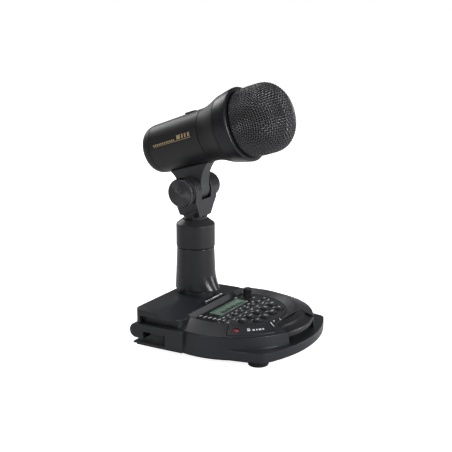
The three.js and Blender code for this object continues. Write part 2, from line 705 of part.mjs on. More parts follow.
// A sealed switch under the bar, with a plunger that stops just short of it.
function barSwitch() {
  const bottom = caseZ + CHIN_HEIGHT + SEAT;
  const front = -BAR_POCKET - 8;
  return box(-6, 6, front, -BAR_POCKET - 2, bottom, barUnder - 1.6).add(
    rod(0, front + 2.5, bottom + 1, barUnder - SEAT, 1, FACETS_KEY),
  );
}

// A curved sector on the cone round the panel, between two radii and two angles.
function coneSector(inner, outer, from, to, topLift, thickness) {
  const ring = turned([
    [inner, coneZ(inner) + topLift - thickness], [outer, coneZ(outer) + topLift - thickness],
    [outer, coneZ(outer) + topLift], [inner, coneZ(inner) + topLift],
    [inner, coneZ(inner) + topLift - thickness],
  ], FACETS_BASE);
  const far = 2 * outer;
  const wedge = new THREE.Shape();
  wedge.moveTo(0, 0);
  wedge.lineTo(far * Math.cos(from * degrees), far * Math.sin(from * degrees));
  wedge.lineTo(far * Math.cos(to * degrees), far * Math.sin(to * degrees));
  wedge.lineTo(0, 0);
  return ring.intersect(raised(wedge, 0, housingZ));
}

function lockOpening() {
  const side = SLIDE / LOCK_INNER / degrees;
  return coneSector(
    LOCK_INNER - SLIDE, LOCK_OUTER + SLIDE, LOCK_FROM - side, LOCK_TO + side, 4, 12,
  );
}

const lockRadius = (LOCK_INNER + LOCK_OUTER) / 2;
const lensRod = (radius, down, up) => {
  const x = lockRadius * Math.cos(LENS_ANGLE * degrees);
  const y = lockRadius * Math.sin(LENS_ANGLE * degrees);
  return rod(x, y, coneZ(lockRadius) + down, coneZ(lockRadius) + up, radius, FACETS_SMALL);
};
const lockLens = () => lensRod(LENS_RADIUS, SEAT - LENS_SEAT, LENS_PROUD);

// A cap that lies on the cone, on a stem that slides down into the base.
function lockKey() {
  const proud = 0.5;
  const cap = coneSector(
    LOCK_INNER, LOCK_OUTER, LOCK_FROM, LOCK_TO, proud, LOCK_THICKNESS + proud,
  );
  const middle = ((LOCK_FROM + LOCK_TO) / 2) * degrees;
  const x = lockRadius * Math.cos(middle);
  const y = lockRadius * Math.sin(middle);
  const stem = rod(x, y, coverZ - LOCK_TRAVEL, coneZ(lockRadius) - 1, 2.5, FACETS_SMALL);
  return cap.add(stem).subtract(lensRod(LENS_RADIUS + SEAT, -LENS_SEAT, OVERLAP + 1));
}

// ---------------------------------------------------------------- connectors in the rear bay
const socketBody = (x, grow, rear) =>
  box(x - SOCKET_WIDTH / 2 - grow, x + SOCKET_WIDTH / 2 + grow, BAY_FRONT - SOCKET_DEPTH, rear,
    socketZ - SOCKET_HEIGHT / 2 - grow, socketZ + SOCKET_HEIGHT / 2 + grow);
const alongY = (x, y0, y1, radius) =>
  rod(0, 0, -y1, -y0, radius, FACETS_SMALL).rotate([90, 0, 0]).translate([x, 0, socketZ]);

// The openings in the bay's wall that the sockets and jacks sit in.
function socketCuts() {
  const rear = BAY_FRONT + OVERLAP;
  const cuts = SOCKETS.map(({ x }) => socketBody(x, SEAT, rear)).concat(
    JACKS.map(({ x, radius }) => alongY(x, BAY_FRONT - SOCKET_DEPTH, rear, radius + SEAT)),
  );
  return cuts.reduce((all, cut) => all.add(cut));
}

const radioSocket = (x) =>
  socketBody(x, 0, BAY_FRONT + 1).subtract(
    box(x - PLUG_HALF, x + PLUG_HALF, BAY_FRONT - SOCKET_DEPTH + SOCKET_WALL,
      BAY_FRONT + SOCKET_WALL, socketZ - PLUG_BELOW, socketZ + PLUG_ABOVE),
  );

const jack = ({ x, radius, bore }) =>
  alongY(x, BAY_FRONT - SOCKET_DEPTH, BAY_FRONT + 2, radius).subtract(
    alongY(x, BAY_FRONT - SOCKET_DEPTH + SOCKET_WALL, BAY_FRONT + 3, bore),
  );

// ---------------------------------------------------------------- stand
const plinth = () =>
  turned([
    [0, plinthZ], [PLINTH_RADIUS, plinthZ], [PLINTH_RADIUS, columnZ - SEAT - 1],
    [PLINTH_RADIUS - 1, columnZ - SEAT], [0, columnZ - SEAT],
  ]).translate([0, COLUMN_Y, 0]);

function column() {
  const top = columnZ + COLUMN_HEIGHT;
  const shaft = turned([
    [0, columnZ], [COLUMN_FOOT, columnZ],
    [COLUMN_FOOT - 1.2, columnZ + COLUMN_HEIGHT * COLUMN_WAIST],
    [COLUMN_HEAD, top], [0, top],
  ]);
  // The foot flares towards the front: a cone that leans back as it rises.
  const toe = new THREE.CylinderGeometry(TOE_HEAD, TOE_FOOT, TOE_HEIGHT, FACETS_INSIDE, 4);
  toe.rotateX(Math.PI / 2);
  const position = toe.attributes.position;
  for (let i = 0; i < position.count; i += 1) {
    const rise = position.getZ(i) / TOE_HEIGHT + 0.5;
    const forward = TOE_REACH * (1 - rise) ** 2 + COLUMN_FOOT - TOE_FOOT + rise * 2.6;
    position.setY(i, position.getY(i) - forward);
    position.setZ(i, columnZ + rise * TOE_HEIGHT);
  }
  return shaft
    .add(solid(toe))
    .subtract(rod(0, 0, top - STEM_DEPTH - 1, top + OVERLAP, STEM_RADIUS + RUN))
    .translate([0, COLUMN_Y, 0]);
}

function collar() {
  const r = COLLAR_RADIUS;
  const bore = STEM_RADIUS + RUN;
  const z1 = collarZ + COLLAR_HEIGHT;
  return turned([
    [bore, collarZ], [r - 0.6, collarZ], [r, collarZ + 0.8], [r, z1 - 0.8], [r - 0.4, z1],
    [bore + 0.8, collarTop], [bore, collarTop], [bore, collarZ],
  ]).translate([0, COLUMN_Y, 0]);
}

// The yoke: a stem in the column, and a fork whose two ears hold the clamp bolt.
function yoke() {
  const neckTop = collarTop + NECK_HEIGHT;
  const forkFoot = neckTop - 3;
  const shoulder = pivotZ - 11;
  const earTop = pivotZ + EAR_RADIUS + OVERLAP;
  const side = new THREE.Shape();
  side.moveTo(-STEM_RADIUS, forkFoot);
  side.lineTo(STEM_RADIUS, forkFoot);
  side.lineTo(EAR_RADIUS, pivotZ);
  side.absarc(0, pivotZ, EAR_RADIUS, 0, Math.PI);
  side.lineTo(-STEM_RADIUS, forkFoot);
  const frontView = outline([
    [1 - STEM_RADIUS, forkFoot], [STEM_RADIUS - 1, forkFoot], [earOuter, shoulder],
    [earOuter, earTop], [-earOuter, earTop], [-earOuter, shoulder],
  ]);
  const across = raised(frontView, -EAR_RADIUS - 1, EAR_RADIUS + 1).rotate([90, 0, 0]);
  const slotHalf = TONGUE_HALF + SLOT_CLEARANCE;
  const slotRadius = EAR_RADIUS + SLOT_DEPTH;
  const slotSide = slotRadius + 2;
  const boltHalf = earOuter + OVERLAP;
  return sideways(side, earOuter)
    .intersect(across)
    .add(rod(0, 0, collarZ - STEM_DEPTH, neckTop, STEM_RADIUS))
    .subtract(crossRod(-slotHalf, slotHalf, 0, pivotZ, slotRadius))
    .subtract(box(-slotHalf, slotHalf, -slotSide, slotSide, pivotZ, pivotZ + slotSide))
    .subtract(crossRod(-boltHalf, boltHalf, 0, pivotZ, BOLT_RADIUS + RUN, FACETS_SMALL))
    .translate([0, COLUMN_Y, 0]);
}

// The clamp's pieces are drawn about Z, with the knob at -Z, then laid along X.
const knobInner = -earOuter - 2 * SEAT - WASHER_THICKNESS;

function clampKnob() {
  const outer = knobInner - KNOB_THICKNESS;
  const rim = [];
  for (let i = 0; i < 2 * KNOB_TEETH; i += 1) {
    const radius = i % 2 ? KNOB_RADIUS : KNOB_RADIUS - 0.7;
    const angle = (i * Math.PI) / KNOB_TEETH;
    rim.push([radius * Math.cos(angle), radius * Math.sin(angle)]);
  }
  const face = turned([
    [0, outer - 0.6], [KNOB_RADIUS - 1.6, outer], [KNOB_RADIUS - 1.2, outer + 1.6], [0, outer + 1.6],
  ]);
  return raised(outline(rim), outer + 1, knobInner)
    .add(face)
    .subtract(boltBore(knobInner - BOLT_GRIP - SEAT, knobInner + OVERLAP));
}

const boltBore = (z0, z1) => rod(0, 0, z0, z1, BOLT_RADIUS + SEAT, FACETS_SMALL);

const clampWasher = () =>
  tube(0, 0, -earOuter - SEAT - WASHER_THICKNESS, -earOuter - SEAT, BOLT_RADIUS + RUN,
    WASHER_RADIUS, FACETS_INSIDE);

const clampBolt = () =>
  rod(0, 0, knobInner - BOLT_GRIP, earOuter + CAP_GRIP, BOLT_RADIUS, FACETS_SMALL);

function clampCap() {
  const inner = earOuter + SEAT;
  const outer = inner + CAP_THICKNESS;
  return turned([
    [0, inner], [CAP_RADIUS, inner], [CAP_RADIUS, outer - CAP_BEVEL],
    [CAP_RADIUS - CAP_BEVEL, outer - 0.6], [0, outer],
  ]).subtract(boltBore(inner - OVERLAP, earOuter + CAP_GRIP + SEAT));
}

// ---------------------------------------------------------------- microphone
// Drawn about Z with the head up, then laid along the microphone's axis.
// A ring-shaped wall from its outer and inner points.
const ringWall = (outer, inner, segments) =>
  turned([...outer, ...inner.toReversed(), outer[0]], segments);

// The head's flare behind the band: radius at a station along the axis.
const headCurve = new THREE.SplineCurve(
  [
    [NECKING_RADIUS, HEAD_JOINT], [27.6, 27], [30.6, 35.5], [33.2, 41], [BAND_RADIUS, BAND_JOINT],
  ].map(([radius, station]) => new THREE.Vector2(radius, station)),
);

const tailCap = () =>
  turned([
    [0, TAIL_END], [15, TAIL_END], [19, TAIL_END + 1.2], [22, TAIL_END + 3.6],
    [24, TAIL_END + 7], [TAIL_RADIUS, TAIL_JOINT], [TAIL_RADIUS - TAIL_WALL, TAIL_JOINT],
    [TAIL_RADIUS - TAIL_WALL - 2, TAIL_END + 6], [0, TAIL_END + 4],
  ]);

function barrel() {
  const z0 = TAIL_JOINT + SEAT;
  const z1 = HEAD_JOINT - SEAT;
  return ringWall(
    [[TAIL_RADIUS, z0], [NECKING_RADIUS, z1]],
    [[TAIL_RADIUS - BARREL_WALL, z0], [NECKING_RADIUS - BARREL_WALL, z1]],
  );
}

function headCone() {
  const outer = headCurve.getPoints(4).map((p) => [p.x, p.y]);
  return ringWall(outer, outer.map(([radius, station]) => [radius - BARREL_WALL, station]));
}

const headBand = () =>
  ringWall(
    [[BAND_RADIUS, BAND_JOINT + SEAT], [LIP_RADIUS, LIP_END - 1.5], [LIP_RADIUS, LIP_END],
      [LIP_RADIUS - 1.2, LIP_END + 0.6]],
    [[BAND_RADIUS - BAND_WALL, BAND_JOINT + SEAT], [GRILLE_RADIUS - BAND_WALL, LIP_END + 0.6]],
  );

// The grille's outline in [radius, station], set in by a wall thickness.
const grillePoints = (inset) =>
  [[-1.6, 1.4], [0, 14], [0, 26.5], [-2.4, 34.5], [-9, 41.5], [-19, 46], [-29, 47.4]]
    .map(([dr, ds]) => [GRILLE_RADIUS + dr - inset, LIP_END + ds - inset * 0.7]);

// A dome-shaped wall, cut square at its foot.
const domeWall = (outer, inner, foot, tip, wall, segments) =>
  turned([
    [inner[0][0], foot], [outer[0][0], foot], ...outer.slice(1), [0, tip],
    [0, tip - wall], ...inner.slice(1).toReversed(), [inner[0][0], foot],
  ], segments);

const grille = () =>
  domeWall(grillePoints(0), grillePoints(GRILLE_WALL), LIP_END + 1.4, GRILLE_END, GRILLE_WALL);

function windscreen() {
  const outer = grillePoints(GRILLE_WALL + SEAT).map(([r, s]) => [r, s - 0.4]);
  const inner = outer.map(([r, s]) => [r - FOAM_WALL, s - FOAM_WALL * 0.7]);
  const tip = GRILLE_END - GRILLE_WALL - OVERLAP;
  return domeWall(outer, inner, LIP_END + 1.2, tip, FOAM_WALL, FACETS_INSIDE);
}

// The holder behind the grille, with a well for each capsule.
const HOLDER_FOOT = BAND_JOINT + 2;
const LARGE_WELL = BAND_JOINT + 9;
const SMALL_WELL = BAND_JOINT + 12;
const holderTop = LIP_END + 2;
const capsuleRod = (y, z0, z1, radius) => rod(0, y, z0, z1, radius, FACETS_INSIDE);
const capsuleHolder = () =>
  turned([
    [0, HOLDER_FOOT], [BAND_RADIUS - BAND_WALL - 1, HOLDER_FOOT],
    [BAND_RADIUS - BAND_WALL - 1, HOLDER_FOOT + 4], [HOLDER_RADIUS, HOLDER_FOOT + 6],
    [HOLDER_RADIUS, holderTop], [0, holderTop],
  ], FACETS_INSIDE)
    .subtract(capsuleRod(LARGE_SIDE, LARGE_WELL, holderTop + OVERLAP, LARGE_CAPSULE + SEAT))
    .subtract(capsuleRod(SMALL_SIDE, SMALL_WELL, holderTop + OVERLAP, SMALL_CAPSULE + SEAT));
const dynamicCapsule = () =>
  capsuleRod(LARGE_SIDE, LARGE_WELL + SEAT, holderTop + 7, LARGE_CAPSULE);
const condenserCapsule = () =>
  capsuleRod(SMALL_SIDE, SMALL_WELL + SEAT, holderTop + 3, SMALL_CAPSULE);
const microphoneBoard = () =>
  box(-17, 17, -BOARD_THICKNESS / 2, BOARD_THICKNESS / 2, TAIL_JOINT + 4, HEAD_JOINT + 8);

// The bracket: a fan that holds the barrel, narrowing to the tongue between the yoke's ears.
// Drawn in [station, height above the axis], then laid in the microphone's own frame.
function bracket() {
  const tongue = EAR_RADIUS - 1;
  const front = PIVOT_STATION + tongue;
  const rear = PIVOT_STATION - tongue;
  const foot = -MIC_OFFSET;
  const fan = new THREE.Shape();
  fan.moveTo(front, foot);
  fan.quadraticCurveTo(front + 3, foot + 14, FAN_FRONT, -FAN_DROP);
  fan.lineTo(FAN_FRONT, -FAN_DROP + 6);
  fan.lineTo(FAN_REAR, -FAN_DROP + 6);
  fan.lineTo(FAN_REAR, -FAN_DROP);
  fan.quadraticCurveTo(rear, foot + 16, rear, foot);
  fan.absarc(PIVOT_STATION, foot, tongue, Math.PI, 2 * Math.PI);
  const boreHalf = TONGUE_HALF + OVERLAP;
  const bore = rod(0, 0, -boreHalf, boreHalf, BOLT_RADIUS + RUN, FACETS_SMALL)
    .rotate([0, 90, 0])
    .translate([0, foot, PIVOT_STATION]);
  const seatRadius = (station) =>
    SEAT + TAIL_RADIUS +
    ((NECKING_RADIUS - TAIL_RADIUS) * (station - TAIL_JOINT)) / (HEAD_JOINT - TAIL_JOINT);
  const z0 = FAN_REAR - 2;
  const z1 = FAN_FRONT + 2;
  const seat = turned([[0, z0], [seatRadius(z0), z0], [seatRadius(z1), z1], [0, z1]]);
  // The slice is turned so that stations run along +Z and heights along +Y.
  return raised(fan, -TONGUE_HALF, TONGUE_HALF)
    .rotate([0, -90, 0])
    .subtract(seat)
    .subtract(bore);
}

// ---------------------------------------------------------------- assembly
const base = new THREE.Group();
base.add(part("lower_case", lowerCase(), shell));
base.add(part("top_cover", topCover(), shell));
base.add(part("bottom_plate", bottomPlate(), dark));
const feet = { front_left: [-1, -1], front_right: [1, -1], rear_left: [-1, 1], rear_right: [1, 1] };
for (const [place, [sideX, sideY]] of Object.entries(feet)) {
  const y = sideY < 0 ? -FOOT_FRONT : FOOT_REAR;
  const x = sideX > 0 && sideY > 0 ? FOOT_REAR_RIGHT : sideX * FOOT_X;
  base.add(part("foot_" + place, rod(x, y, 0, FOOT_HEIGHT, FOOT_RADIUS), rubber));
}
base.add(part("ballast_weight", box(-56, 48, -14, 28, floorZ + SEAT, floorZ + 9), steel));
base.add(part("control_panel", controlPanel(), gloss));
base.add(part("display_window", displayWindow(), glass));
base.add(part("display_module", displayModule(), liquidCrystal));
base.add(part("control_board", controlBoard(), circuit));
for (let i = 0; i < SMALL_KEYS; i += 1) {
  base.add(part("small_key_" + (i + 1), smallKey(i), keycap));
}
roundKeyPlaces.forEach((place, i) => {
  base.add(part("round_key_" + (i + 1), roundKey(place), keycap));
});
base.add(part("encoder_body", encoderBody(), dark));
base.add(part("encoder_knob", encoderKnob(), dark));
base.add(part("badge_plate", badgeBlock(0, -BADGE_SEAT, BADGE_PROUD), dark));
base.add(part("lock_key", lockKey(), shell));
base.add(part("lock_lens", lockLens(), redLens));
base.add(part("transmit_bar", transmitBar(), dark));
base.add(part("transmit_bar_pin", barPin(), steel));
base.add(part("transmit_switch", barSwitch(), dark));
for (const { name, x } of SOCKETS) base.add(part(name, radioSocket(x), dark));
for (const place of JACKS) base.add(part(place.name, jack(place), dark));
base.add(part("column_plinth", plinth(), shell));
base.add(part("column", column(), castMetal));
base.add(part("lock_collar", collar(), castMetal));
base.add(part("yoke", yoke(), castMetal));

const pivot = new THREE.Group();
pivot.position.set(0, COLUMN_Y, pivotZ);
const clamp = new THREE.Group();
clamp.rotation.y = Math.PI / 2;
clamp.add(part("clamp_knob", clampKnob(), turnedMetal));
clamp.add(part("clamp_washer", clampWasher(), steel));
clamp.add(part("clamp_bolt", clampBolt(), steel));
clamp.add(part("clamp_cap", clampCap(), castMetal));
pivot.add(clamp);

// The microphone's own frame has +Z along its axis to the head and +Y up from the bracket.
const microphone = new THREE.Group();
microphone.rotation.x = ((90 - MIC_TILT) * Math.PI) / 180;
const onAxis = new THREE.Group();
onAxis.position.set(0, MIC_OFFSET, -PIVOT_STATION);
onAxis.add(part("microphone_bracket", bracket(), bracketMetal));
onAxis.add(part("barrel", barrel(), barrelMetal));
onAxis.add(part("tail_cap", tailCap(), barrelMetal));
onAxis.add(part("head_cone", headCone(), barrelMetal));
onAxis.add(part("head_band", headBand(), barrelMetal));
onAxis.add(part("grille", grille(), meshMetal));
onAxis.add(part("windscreen", windscreen(), foam));
onAxis.add(part("capsule_holder", capsuleHolder(), dark));
onAxis.add(part("dynamic_capsule", dynamicCapsule(), steel));
onAxis.add(part("condenser_capsule", condenserCapsule(), steel));
onAxis.add(part("microphone_board", microphoneBoard(), circuit));
microphone.add(onAxis);
pivot.add(microphone);

const model = new THREE.Group();
model.add(base, pivot);

// The origin is the middle of the footprint, on the desk.
model.updateMatrixWorld(true);
const bounds = new THREE.Box3().setFromObject(model, true);
model.position.set(0, -(bounds.min.y + bounds.max.y) / 2, 0);

export default model;
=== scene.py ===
"""Looks for a desk microphone: a tilting head on a column over a round control base.

Shapes are drawn in millimetres with the middle of the round base at X = Y = 0 and the desk at
Z = 0, as the solids are, and put into the object's frame in metres as each piece is made.
"""

import math
import random

import bmesh
import bpy
from mathutils import Matrix, Vector


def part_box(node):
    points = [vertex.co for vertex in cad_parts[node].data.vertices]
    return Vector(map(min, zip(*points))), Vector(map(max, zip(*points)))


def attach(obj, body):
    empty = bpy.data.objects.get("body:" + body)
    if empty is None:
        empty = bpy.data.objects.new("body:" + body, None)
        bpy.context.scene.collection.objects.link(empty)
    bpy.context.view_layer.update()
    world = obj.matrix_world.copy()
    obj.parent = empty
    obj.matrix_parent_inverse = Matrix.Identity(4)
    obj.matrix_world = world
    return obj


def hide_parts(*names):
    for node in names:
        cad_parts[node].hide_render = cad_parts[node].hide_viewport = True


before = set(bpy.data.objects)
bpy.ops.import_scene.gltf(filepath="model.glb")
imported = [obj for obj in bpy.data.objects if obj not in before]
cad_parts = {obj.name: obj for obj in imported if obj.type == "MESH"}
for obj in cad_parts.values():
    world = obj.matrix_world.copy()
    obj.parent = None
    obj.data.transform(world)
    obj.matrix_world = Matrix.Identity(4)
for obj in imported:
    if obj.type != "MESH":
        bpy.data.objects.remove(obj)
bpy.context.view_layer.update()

# ---------------------------------------------------------------- camera, light and floor
scene = bpy.context.scene
scene.view_settings.view_transform = "Standard"


def aimed(obj, place, target):
    obj.location = place
    obj.rotation_mode = "QUATERNION"
    obj.rotation_quaternion = (Vector(target) - Vector(place)).to_track_quat("-Z", "Y")
    scene.collection.objects.link(obj)
    return obj


camera = aimed(
    bpy.data.objects.new("camera", bpy.data.cameras.new("camera")),
    (-0.9128, -0.5334, 0.3820),
    (0, 0.0025, 0.1158),
)
camera.data.lens = 86.9
camera.data.sensor_width = 36
camera.data.clip_start = 0.02
scene.camera = camera


def soft_box(name, place, target, width, height, power):
    lamp = bpy.data.lights.new(name, "AREA")
    lamp.shape = "RECTANGLE"
    lamp.size = width
    lamp.size_y = height
    lamp.energy = power
    return aimed(bpy.data.objects.new(name, lamp), place, target)


MIDDLE = (0, 0, 0.12)
soft_box("key_light", (-0.2, -1.3, 0.55), MIDDLE, 0.3, 0.6, 15)
soft_box("side_light", (-1.5, 0.45, 0.75), MIDDLE, 0.3, 1.1, 8)
soft_box("top_light", (0.1, 0.35, 1.7), MIDDLE, 0.9, 0.7, 9)
soft_box("front_light", (0.95, -1.1, 0.45), MIDDLE, 0.3, 0.9, 9)
soft_box("rear_light", (0.6, 1.4, 0.9), MIDDLE, 0.6, 0.9, 9)

world = bpy.data.worlds.new("studio")
world.use_nodes = True
scene.world = world

# ---------------------------------------------------------------- sizes shared with the solids
MM = 0.001
plinth_low, plinth_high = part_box("column_plinth")
COLUMN_Y = 48.3
SHIFT_Y = (plinth_low.y + plinth_high.y) / 2 - COLUMN_Y * MM
TO_FRAME = Matrix.Translation((0, SHIFT_Y, 0)) @ Matrix.Scale(MM, 4)

CASE_Z, RIM_Z, COVER_Z, RIDGE_Z = 6.7, 27.5, 27.8, 35.5
HOUSING_Z = 43.0
PANEL_Z = 31.1
RIM_RADIUS, SKIRT_RADIUS, RIDGE_RADIUS, PANEL_RADIUS = 77.5, 80, 59, 50.5
RAIL_HALF, RAIL_WIDTH, BLOCK_RIGHT = 80, 14, 52
BAY_FRONT, FLOOR_REAR = 46, 72
HOUSING_HALF, HOUSING_FRONT, HOUSING_REAR = 79, 24, 70.8
SLOPE_REAR, SLOPE_DROP = 45, 6.4
ROOF_EDGE, ROOF_FALL = 31, 0.36
PIVOT_Z = 150.6
MIC_TILT = 18.6
EAR_OUTER = 20
BAR_HALF, BAR_POCKET = 26, 59.5
LOCK_INNER, LOCK_OUTER, LOCK_FROM, LOCK_TO = 61, 74.5, 203, 240

PIVOT = Matrix.Translation((0, COLUMN_Y, PIVOT_Z))
CLAMP = TO_FRAME @ PIVOT @ Matrix.Rotation(math.pi / 2, 4, "Y")
MICROPHONE = (
    TO_FRAME
    @ PIVOT
    @ Matrix.Rotation(math.radians(90 - MIC_TILT), 4, "X")
    @ Matrix.Translation((0, 47.6, 16))
)


def cone_z(radius):
    """Height of the cone between the rim and the ridge."""
    return RIDGE_Z - (RIDGE_Z - RIM_Z) * (radius - RIDGE_RADIUS) / (RIM_RADIUS - RIDGE_RADIUS)


# ---------------------------------------------------------------- shader node groups
class Wiring:
    """Adds nodes to a tree and links them by socket name."""

    def __init__(self, tree):
        self.tree = tree

    def add(self, kind, settings=None, **inputs):
        node = self.tree.nodes.new(kind)
        for name, value in (settings or {}).items():
            setattr(node, name, value)
        for name, value in inputs.items():
            self.feed(node.inputs[name.replace("_", " ")], value)
        return node

    def feed(self, socket, value):
        if isinstance(value, bpy.types.NodeSocket):
            self.tree.links.new(value, socket)
        else:
            socket.default_value = value

    def maths(self, operation, *values):
        node = self.tree.nodes.new("ShaderNodeMath")
        node.operation = operation
        for socket, value in zip(node.inputs, values):
            self.feed(socket, value)
        return node.outputs[0]

    def between(self, factor, low, high):
        """low where factor is 0 and high where it is 1."""
        node = self.tree.nodes.new("ShaderNodeMapRange")
        for socket, value in zip(node.inputs, (factor, 0.0, 1.0, low, high)):
            self.feed(socket, value)
        return node.outputs[0]

    def tint(self, factor, first, second):
        node = self.tree.nodes.new("ShaderNodeMix")
        node.data_type = "RGBA"
        self.feed(node.inputs[0], factor)
        self.feed(node.inputs[6], first)
        self.feed(node.inputs[7], second)
        return node.outputs[2]


def node_group(name, inputs, outputs):
    """An empty shader group: its wiring, its input node and its output node."""
    tree = bpy.data.node_groups.new(name, "ShaderNodeTree")
    for socket, (kind, value) in inputs.items():
        made = tree.interface.new_socket(name=socket, in_out="INPUT", socket_type=kind)
        made.default_value = value
    for socket, kind in outputs.items():
        tree.interface.new_socket(name=socket, in_out="OUTPUT", socket_type=kind)
    wiring = Wiring(tree)
    return wiring, wiring.add("NodeGroupInput").outputs, wiring.add("NodeGroupOutput").inputs


NUMBER, COLOUR = "NodeSocketFloat", "NodeSocketColor"


def make_surface_group():
    """A finish with fine grain, slow tone changes, worn edges and a little dust."""
    wiring, given, out = node_group(
        "worked_surface",
        {
            "Colour": (COLOUR, (0.1, 0.1, 0.1, 1)),
            "Worn Colour": (COLOUR, (0.2, 0.2, 0.2, 1)),
            "Grain Size": (NUMBER, 0.6),
            "Grain Contrast": (NUMBER, 0.1),
            "Roughness": (NUMBER, 0.45),
            "Roughness Spread": (NUMBER, 0.08),
            "Edge Wear": (NUMBER, 0.3),
            "Dust": (NUMBER, 0.02),
        },
        {"Colour": COLOUR, "Roughness": NUMBER, "Height": NUMBER},
    )
    place = wiring.add("ShaderNodeTexCoord").outputs["Object"]
    scale = wiring.maths("DIVIDE", 1000.0, given["Grain Size"])
    grain = wiring.add("ShaderNodeTexNoise", Vector=place, Scale=scale, Detail=3.0)
    cloud = wiring.add("ShaderNodeTexNoise", Vector=place, Scale=28.0, Detail=4.0)
    speckle = wiring.maths("SUBTRACT", grain.outputs[0], 0.5)
    tone = wiring.maths("MULTIPLY", speckle, given["Grain Contrast"])
    drift = wiring.maths("MULTIPLY", wiring.maths("SUBTRACT", cloud.outputs[0], 0.5), 0.25)
    shade = wiring.maths("ADD", 1.0, wiring.maths("ADD", tone, drift))
    toned = wiring.add("ShaderNodeVectorMath", {"operation": "SCALE"})
    wiring.feed(toned.inputs[0], given["Colour"])
    wiring.feed(toned.inputs["Scale"], shade)
    geometry = wiring.add("ShaderNodeNewGeometry")
    edge = wiring.add("ShaderNodeMapRange", {"clamp": True})
    for socket, value in zip(edge.inputs, (geometry.outputs["Pointiness"], 0.52, 0.6, 0.0, 1.0)):
        wiring.feed(socket, value)
    broken = wiring.maths("MULTIPLY", edge.outputs[0], wiring.between(cloud.outputs[0], 0.3, 1.0))
    wear = wiring.maths("MULTIPLY", broken, given["Edge Wear"])
    worn = wiring.tint(wear, toned.outputs[0], given["Worn Colour"])
    up = wiring.add("ShaderNodeSeparateXYZ", Vector=geometry.outputs["Normal"]).outputs["Z"]
    settled = wiring.maths("MULTIPLY", wiring.maths("MAXIMUM", up, 0.0), given["Dust"])
    dusty = wiring.maths("MULTIPLY", settled, cloud.outputs[0])
    wiring.feed(out["Colour"], wiring.tint(dusty, worn, (0.5, 0.49, 0.47, 1)))
    spread = wiring.maths("MULTIPLY", speckle, given["Roughness Spread"])
    rough = wiring.maths("ADD", given["Roughness"], spread)
    wiring.feed(out["Roughness"], wiring.maths("ADD", rough, dusty))
    wiring.feed(out["Height"], grain.outputs[0])
    return wiring.tree


SURFACE = make_surface_group()


def make_turning_group():
    """Fine rings left by a lathe round the X axis through a given point of the object."""
    wiring, given, out = node_group(
        "turning_marks",
        {"Axis Y": (NUMBER, 0.0), "Axis Z": (NUMBER, 0.0), "Pitch": (NUMBER, 0.5)},
        {"Rings": NUMBER},
    )
    split = wiring.add(
        "ShaderNodeSeparateXYZ", Vector=wiring.add("ShaderNodeTexCoord").outputs["Object"]
    )
    across = wiring.maths("SUBTRACT", split.outputs["Y"], given["Axis Y"])
    above = wiring.maths("SUBTRACT", split.outputs["Z"], given["Axis Z"])
    square = wiring.maths(
        "ADD", wiring.maths("MULTIPLY", across, across), wiring.maths("MULTIPLY", above, above)
    )
    radius = wiring.maths("MULTIPLY", wiring.maths("SQRT", square), 2000 * math.pi)
    wave = wiring.maths("SINE", wiring.maths("DIVIDE", radius, given["Pitch"]))
    wiring.feed(out["Rings"], wiring.between(wave, 0.5, 1.0))
    return wiring.tree


TURNING = make_turning_group()


def finish(name, colour, worn=None, roughness=0.45, bump=0.08, constants=None, **values):
    """A Principled material over the worked surface group."""
    material = bpy.data.materials.new(name)
    material.use_nodes = True
    wiring = Wiring(material.node_tree)
    shader = material.node_tree.nodes["Principled BSDF"]
    surface = wiring.add("ShaderNodeGroup", {"node_tree": SURFACE})
    worn = worn or tuple(min(1, 2.0 * c + 0.012) for c in colour)
    surface.inputs["Colour"].default_value = (*colour, 1)
    surface.inputs["Worn Colour"].default_value = (*worn, 1)
    surface.inputs["Roughness"].default_value = roughness
    for key, value in values.items():
        surface.inputs[key.replace("_", " ").title()].default_value = value
    wiring.feed(shader.inputs["Base Color"], surface.outputs["Colour"])
    wiring.feed(shader.inputs["Roughness"], surface.outputs["Roughness"])
    relief = wiring.add("ShaderNodeBump", Strength=bump, Distance=0.0002)
    wiring.feed(relief.inputs["Height"], surface.outputs["Height"])
    wiring.feed(shader.inputs["Normal"], relief.outputs["Normal"])
    shader.inputs["Specular IOR Level"].default_value = 0.3
    for key, value in (constants or {}).items():
        shader.inputs[key].default_value = value
    return material


housing_plastic = finish(
    "housing_plastic", (0.011, 0.012, 0.016), roughness=0.36, bump=0.12,
    grain_size=0.7, grain_contrast=0.5, edge_wear=0.25, dust=0.03,
)
panel_plastic = finish(
    "panel_plastic", (0.008, 0.0082, 0.0095), roughness=0.22, bump=0.02,
    grain_size=1.2, dust=0.03, constants={"Coat Weight": 0.3, "Coat Roughness": 0.08},
)
bar_plastic = finish(
    "bar_plastic", (0.0085, 0.009, 0.0105), roughness=0.34, bump=0.05, grain_size=0.6, dust=0.02,
)
key_plastic = finish(
    "key_plastic", (0.016, 0.018, 0.023), roughness=0.36, bump=0.05, grain_size=0.5, edge_wear=0.5,
)
knob_plastic = finish("knob_plastic", (0.012, 0.012, 0.014), roughness=0.4, grain_size=0.5)
white_print = finish("white_print", (0.5, 0.51, 0.52), roughness=0.5, grain_contrast=0.3)
key_print = finish("key_print", (0.42, 0.44, 0.47), roughness=0.5, grain_contrast=0.3)
grey_print = finish("grey_print", (0.2, 0.21, 0.23), roughness=0.5, grain_contrast=0.3)
gold_print = finish(
    "gold_print", (0.62, 0.46, 0.27), roughness=0.38, grain_contrast=0.3,
    constants={"Metallic": 0.5},
)
rubber = finish("rubber", (0.006, 0.006, 0.006), roughness=0.8, bump=0.3, grain_size=0.9)
cast_paint = finish(
    "cast_paint", (0.0105, 0.011, 0.014), roughness=0.24, bump=0.06,
    grain_size=0.6, grain_contrast=0.4, edge_wear=0.3, dust=0.02,
)
